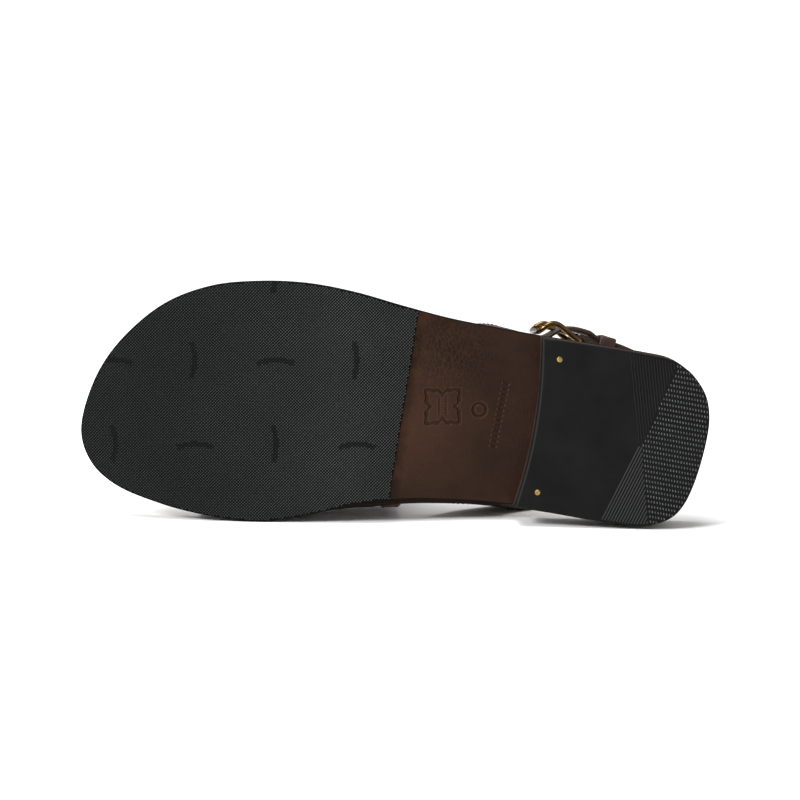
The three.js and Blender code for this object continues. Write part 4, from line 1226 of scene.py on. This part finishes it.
def add_strap(soup, start, end, steps, width, lift):
    """A strap on the ankle's surface. What would lie in the outsole is pressed flat on its top."""
    count = 26
    across, up = strip_section(count, STRAP / 2, 7.0)
    up = np.sign(up) * np.abs(up / (STRAP / 2)) ** 0.55 * STRAP / 2
    along = np.linspace(start, end, steps)
    out = lift(along)[:, None] + up[None]
    rings = strap_place(along[:, None], across[None] * width(along)[:, None] / 2, out)
    floor = outsole_top(rings[..., 0]) - 0.1
    under = (rings[..., 2] < floor).ravel()
    rings[..., 2] = np.maximum(rings[..., 2], floor)
    faces = [f for f in grid_faces(steps, count) if not all(under[i] for i in f)]
    faces += [cap for cap in end_caps(steps, count) if not any(under[i] for i in cap)]
    soup.add(rings.reshape(-1, 3), faces)


buckle_middle = BUCKLE_AT * SOLE_LENGTH
along_back = buckle_middle - BUCKLE_LENGTH / 2


def through_buckle(along, across):
    """The way through the buckle's middle, from one side of it to the other."""
    near, far = (strap_place(buckle_middle + s * along, s * across, 0) for s in (-1, 1))
    return unit(far - near)


centre = strap_place(buckle_middle, 0, 0)
ahead = through_buckle(BUCKLE_LENGTH / 2, 0)
across_axis = through_buckle(0, STRAP_WIDTH / 2)
out_axis = unit(np.cross(across_axis, ahead))
across_axis = np.cross(ahead, out_axis)


def buckle_place(forward, across, out):
    forward, across, out = np.broadcast_arrays(*(np.asarray(v, float) for v in (forward, across, out)))
    return centre + ahead * forward[..., None] + across_axis * across[..., None] + out_axis * out[..., None]


BACK_BAR = -BUCKLE_LENGTH / 2
FRONT_BAR = BUCKLE_LENGTH / 2


def tube(soup, path, radius, loop, up, count):
    """A round wire along a path."""
    path = np.asarray(path, float)
    radius = np.broadcast_to(np.asarray(radius, float), (len(path),))
    ahead_of = np.roll(path, -1, axis=0) - np.roll(path, 1, axis=0)
    if not loop:
        ahead_of[0], ahead_of[-1] = path[1] - path[0], path[-1] - path[-2]
    ahead_of = unit(ahead_of)
    side = unit(np.cross(ahead_of, up))
    top = unit(np.cross(side, ahead_of))
    a = circle(count)[None, :, None]
    rings = path[:, None] + radius[:, None, None] * (np.cos(a) * side[:, None] + np.sin(a) * top[:, None])
    add_loft(soup, rings, loop)


# The buckle's frame, prong and sleeve
frame_half = STRAP_WIDTH / 2 + BUCKLE_PLAY + BUCKLE_WIRE
corner_radius = 3.0
turns = []
for sign_f, sign_a, first_angle in ((1, 1, 0), (-1, 1, 90), (-1, -1, 180), (1, -1, 270)):
    for k in range(9):
        angle = math.radians(first_angle + 90 * k / 8)
        f = sign_f * (FRONT_BAR - corner_radius) + corner_radius * math.cos(angle)
        a = sign_a * (frame_half - corner_radius) + corner_radius * math.sin(angle)
        turns.append((f, a))
turns.append(turns[0])
f, a = spread(np.array(turns), 150, endpoint=False).T
share = (f - BACK_BAR) / BUCKLE_LENGTH
frame_out = FRONT_BAR_LIFT * share + BUCKLE_ARCH * np.sin(np.pi * np.clip(share, 0, 1) ** ARCH_LEAN)
buckle = Soup()
tube(buckle, buckle_place(f, a, frame_out), BUCKLE_WIRE, True, out_axis, 20)
buckle.piece("buckle_frame_body", BRASS, "buckle_brass", ["buckle_frame"])

prong = Soup()
share = np.linspace(0, 1, 40)
rest = FRONT_BAR_LIFT + BUCKLE_WIRE + 0.05 + PRONG_RADIUS
start_out = EYE_HOLE + EYE_WALL / 2 + 0.15
prong_out = lerp(start_out, rest, smoothstep(share, 0, 0.9)) + 0.4 * np.sin(np.pi * share)
thin = PRONG_RADIUS * (1 - 0.25 * share**2) * np.where(share > 0.97, 0.6, 1)
tube(prong, buckle_place(lerp(BACK_BAR, FRONT_BAR + 1.2, share), 0, prong_out), thin, False, across_axis, 14)
SLEEVE_RINGS = ((1.45, -1.25), (2.9, -1.25), (3.15, -1.0), (3.15, 1.0), (2.9, 1.25), (1.45, 1.25))
a = circle(36)
rings = [buckle_place(BACK_BAR + r * np.cos(a), width, r * np.sin(a)) for r, width in SLEEVE_RINGS]
add_loft(prong, rings, loop=True)
prong.piece("buckle_prong_body", BRASS, "buckle_brass", ["buckle_prong"], sharp=60)

# The strap round the heel, with its eye on the buckle's back bar: a round end that runs out behind the bar
EYE_TURN = 112  # degrees from straight ahead to where the round ends
EYE_RADIUS = 3.25
EYE_RUN = 12
heel_strap = Soup()
root_start = STRAP_LINE.order[0] * SOLE_LENGTH
root_end = STRAP_LINE.order[-1] * SOLE_LENGTH
no_lift = lambda along: 0 * along
add_strap(heel_strap, root_start, along_back - 3.4, 300, strap_width, no_lift)
eye_angles = np.linspace(math.radians(-180), math.radians(180), 48, endpoint=False)
eye_circle = np.c_[np.cos(eye_angles), np.sin(eye_angles)]
hole, rim = 1.5 * eye_circle, EYE_RADIUS * eye_circle
behind = np.abs(eye_angles) > math.radians(EYE_TURN)
reach = (np.abs(eye_angles[behind]) - math.radians(EYE_TURN)) / math.radians(180 - EYE_TURN)
rim[behind, 0] = -1.2 - EYE_RUN * reach
rim[behind, 1] = np.sign(eye_angles[behind] + 1e-9) * lerp(3.0, 0.9, smoothstep(reach, 0, 0.85))
for low_edge, high_edge in ((SLOT_WIDTH / 2, STRAP_WIDTH / 2), (-STRAP_WIDTH / 2, -SLOT_WIDTH / 2)):
    eye_rings = (
        (hole, low_edge),
        (rim * 0.97, low_edge),
        (rim, low_edge + 0.3),
        (rim, high_edge - 0.3),
        (rim * 0.97, high_edge),
        (hole, high_edge),
    )
    rings = [buckle_place(BACK_BAR + ring[:, 0], width, ring[:, 1]) for ring, width in eye_rings]
    add_loft(heel_strap, rings, loop=True)
heel_strap.piece("heel_strap_body", STRAP_LEATHER, "strap_leather", ["heel_strap"], sharp=55)

# The strap from the outer side, through the buckle and the keeper
tail_lift = STRAP + 0.3
over_bar = EYE_HOLE + EYE_WALL + 0.3 + STRAP / 2
under_bar = FRONT_BAR_LIFT - BUCKLE_WIRE - 0.3 - STRAP / 2
LIFT = Table(
    ("forward", "lift"),
    (-TAIL_LENGTH, tail_lift),
    (-KEEPER_AT - KEEPER_WIDTH, tail_lift),
    (-KEEPER_AT + KEEPER_WIDTH / 2, tail_lift),
    (-EYE_HOLE - EYE_WALL, over_bar),
    (8, over_bar),
    (BUCKLE_LENGTH - 3, under_bar),
    (BUCKLE_LENGTH + 4, under_bar),
    (BUCKLE_LENGTH + 16, 0),
)
tail_end = along_back - TAIL_LENGTH


def side_width(along):
    share = np.clip((along - tail_end) / 11, 0, 1)
    return strap_width(along) * np.maximum(np.sqrt(1 - (1 - share) ** 2), 0.12)


side_lift = lambda s: LIFT.read("lift", s - along_back)
side_strap = Soup()
add_strap(side_strap, tail_end, root_end, 260, side_width, side_lift)
side_piece = side_strap.piece("side_strap_body", STRAP_LEATHER, "strap_leather", ["side_strap"], sharp=55)

# Its punched holes, and the one that the prong goes through
punches = Soup()
for k in range(3):
    middle = strap_place(along_back - KEEPER_AT - HOLE_PITCH * (k + 0.5), 0, tail_lift)
    a = circle(20)[:, None]
    round_hole = HOLE_RADIUS * (np.cos(a) * ahead + np.sin(a) * across_axis)
    add_loft(punches, [middle + out_axis * d + round_hole for d in (-2, 2)])
share = np.linspace(0, 1, 24)
slot_out = np.interp(share, np.linspace(0, 1, 40), prong_out)
slot = buckle_place(lerp(BACK_BAR, FRONT_BAR, share), 0, slot_out)
tube(punches, slot, PRONG_RADIUS + 0.3, False, across_axis, 12)
punch_piece = punches.piece("punches", STRAP_LEATHER, "strap_leather")
cutter = side_piece.modifiers.new("holes", "BOOLEAN")
cutter.operation, cutter.object, cutter.solver = "DIFFERENCE", punch_piece, "EXACT"
cutter.use_self = True
cut = side_piece.evaluated_get(bpy.context.evaluated_depsgraph_get())
punched = bpy.data.meshes.new_from_object(cut)
side_piece.modifiers.clear()
side_piece.data = punched
bpy.data.objects.remove(punch_piece)

# The keeper
keeper = Soup()
KEEPER_RINGS = (  # how far each ring lies outside the loop's inner wall, and along it as a share of its width
    (0, -0.46),
    (0.2, -0.5),
    (0.8, -0.5),
    (1.1, -0.42),
    (1.1, 0.42),
    (0.8, 0.5),
    (0.2, 0.5),
    (0, 0.46),
)
clear = STRAP / 2 + 0.35
half = STRAP_WIDTH / 2 + BUCKLE_PLAY / 2


def keeper_loop(grow):
    low_out, high_out = -clear - grow, tail_lift + clear + grow
    wide = half + grow
    middle, tall = (low_out + high_out) / 2, (high_out - low_out) / 2
    a = circle(64)
    c, s = np.cos(a), np.sin(a)
    return wide * np.sign(c) * np.abs(c) ** 0.22, middle + tall * np.sign(s) * np.abs(s) ** 0.3


rings = [
    strap_place(along_back - KEEPER_AT + away * KEEPER_WIDTH, *keeper_loop(grow))
    for grow, away in KEEPER_RINGS
]
add_loft(keeper, rings, loop=True)
keeper.piece("strap_keeper_body", STRAP_LEATHER, "strap_leather", ["strap_keeper"])

# Stitches along the straps
STITCH_INSET = 2.0
ABOVE_SOLE = 4.5
for start, end, lift in (
    (root_start * 0.9, along_back - 16, no_lift),
    (tail_end + 12, along_back - 18, side_lift),
    (buckle_middle + 16, root_end * 0.98, side_lift),
):
    along = np.linspace(start, end, 300)
    for side in (-1, 1):
        across = side * (strap_width(along) / 2 - STITCH_INSET)
        line, under = (strap_place(along, across, lift(along) + out) for out in (STRAP / 2, STRAP / 2 - 0.5))
        normal = unit(line - under)
        above = line[:, 2] > outsole_top(line[:, 0]) + ABOVE_SOLE
        line, normal = line[above], normal[above]
        if len(line) > 4:
            add_stitches(stitches, line - normal * 0.1, normal)
stitches.piece("stitches", THREAD, "upper_leather")

# The floor, the lights and the camera
floor_mesh = bpy.data.meshes.new("floor")
span = 6.0
corners = [(-span, -span, 0), (span, -span, 0), (span, span, 0), (-span, span, 0)]
floor_mesh.from_pydata(corners, [], [(0, 1, 2, 3)])
floor_piece = bpy.data.objects.new("floor", floor_mesh)
bpy.context.scene.collection.objects.link(floor_piece)
ground = bpy.data.materials.new("floor")
ground.use_nodes = True
ground_shader = ground.node_tree.nodes["Principled BSDF"]
ground_shader.inputs["Base Color"].default_value = (0.94, 0.94, 0.94, 1)
ground_shader.inputs["Roughness"].default_value = 0.75
floor_mesh.materials.append(ground)

# The world is brighter to the camera than as a light, so that the picture's background is white
SKY_LIGHT = 0.56
SKY_SEEN = 1.05
world = bpy.data.worlds.new("studio")
bpy.context.scene.world = world
world.use_nodes = True
sky = world.node_tree
light_sky, seen_sky = sky.nodes["Background"], sky.nodes.new("ShaderNodeBackground")
for background, strength in ((light_sky, SKY_LIGHT), (seen_sky, SKY_SEEN)):
    background.inputs["Color"].default_value = (1, 1, 1, 1)
    background.inputs["Strength"].default_value = strength
pick = sky.nodes.new("ShaderNodeMixShader")
ray = sky.nodes.new("ShaderNodeLightPath")
sky.links.new(ray.outputs["Is Camera Ray"], pick.inputs["Fac"])
sky.links.new(light_sky.outputs["Background"], pick.inputs[1])
sky.links.new(seen_sky.outputs["Background"], pick.inputs[2])
sky.links.new(pick.outputs["Shader"], sky.nodes["World Output"].inputs["Surface"])
bpy.context.scene.view_settings.view_transform = "Standard"


def lamp(name, place, target, size, power):
    light = bpy.data.lights.new(name, "AREA")
    light.shape, light.size, light.energy = "DISK", size, power
    item = bpy.data.objects.new(name, light)
    item.location = place
    item.rotation_mode = "QUATERNION"
    item.rotation_quaternion = (Vector(target) - Vector(place)).to_track_quat("-Z", "Y")
    bpy.context.scene.collection.objects.link(item)


lamp("top", (-0.2, 0.1, 1.3), (0, 0, 0), 0.7, 8)
lamp("front_left", (-1.1, -1.0, 0.9), (0, 0, 0.05), 0.5, 31)
sun = bpy.data.lights.new("sun", "SUN")
sun.energy, sun.angle = 1.9, math.radians(36)
sun_item = bpy.data.objects.new("sun", sun)
sun_item.rotation_euler = (math.radians(12), math.radians(-14), 0)
bpy.context.scene.collection.objects.link(sun_item)

CAMERA_LENS = 100
CAMERA_SENSOR = 36
PICTURE = 800
HEEL_BACK_PIXEL = (708, 430)  # where the photo shows the heel's back, on the sole's middle line
PIXELS_PER_MM = 2.322
PICTURE_SCALE = 1.008
PICTURE_DROP = 1.0
CAMERA_LIFT = 7.9
CAMERA_ROLL = 1.13
across_px, down_px = (pixel - PICTURE / 2 for pixel in HEEL_BACK_PIXEL)
aim = to_scene((across_px / PIXELS_PER_MM, (down_px + PICTURE_DROP) / PIXELS_PER_MM, 1.0))
distance = PICTURE / PIXELS_PER_MM / PICTURE_SCALE * MM * CAMERA_LENS / CAMERA_SENSOR
lift = math.radians(CAMERA_LIFT)
back = Vector((0, -math.cos(lift), math.sin(lift)))
camera_data = bpy.data.cameras.new("camera")
camera_data.lens, camera_data.sensor_width = CAMERA_LENS, CAMERA_SENSOR
camera = bpy.data.objects.new("camera", camera_data)
bpy.context.scene.collection.objects.link(camera)
camera.rotation_mode = "QUATERNION"
look = (-back).to_track_quat("-Z", "Y")
camera.rotation_quaternion = look @ Matrix.Rotation(math.radians(CAMERA_ROLL), 4, "Z").to_quaternion()
camera.location = Vector(aim) + back * distance
camera_data.clip_end = 20
bpy.context.scene.camera = camera
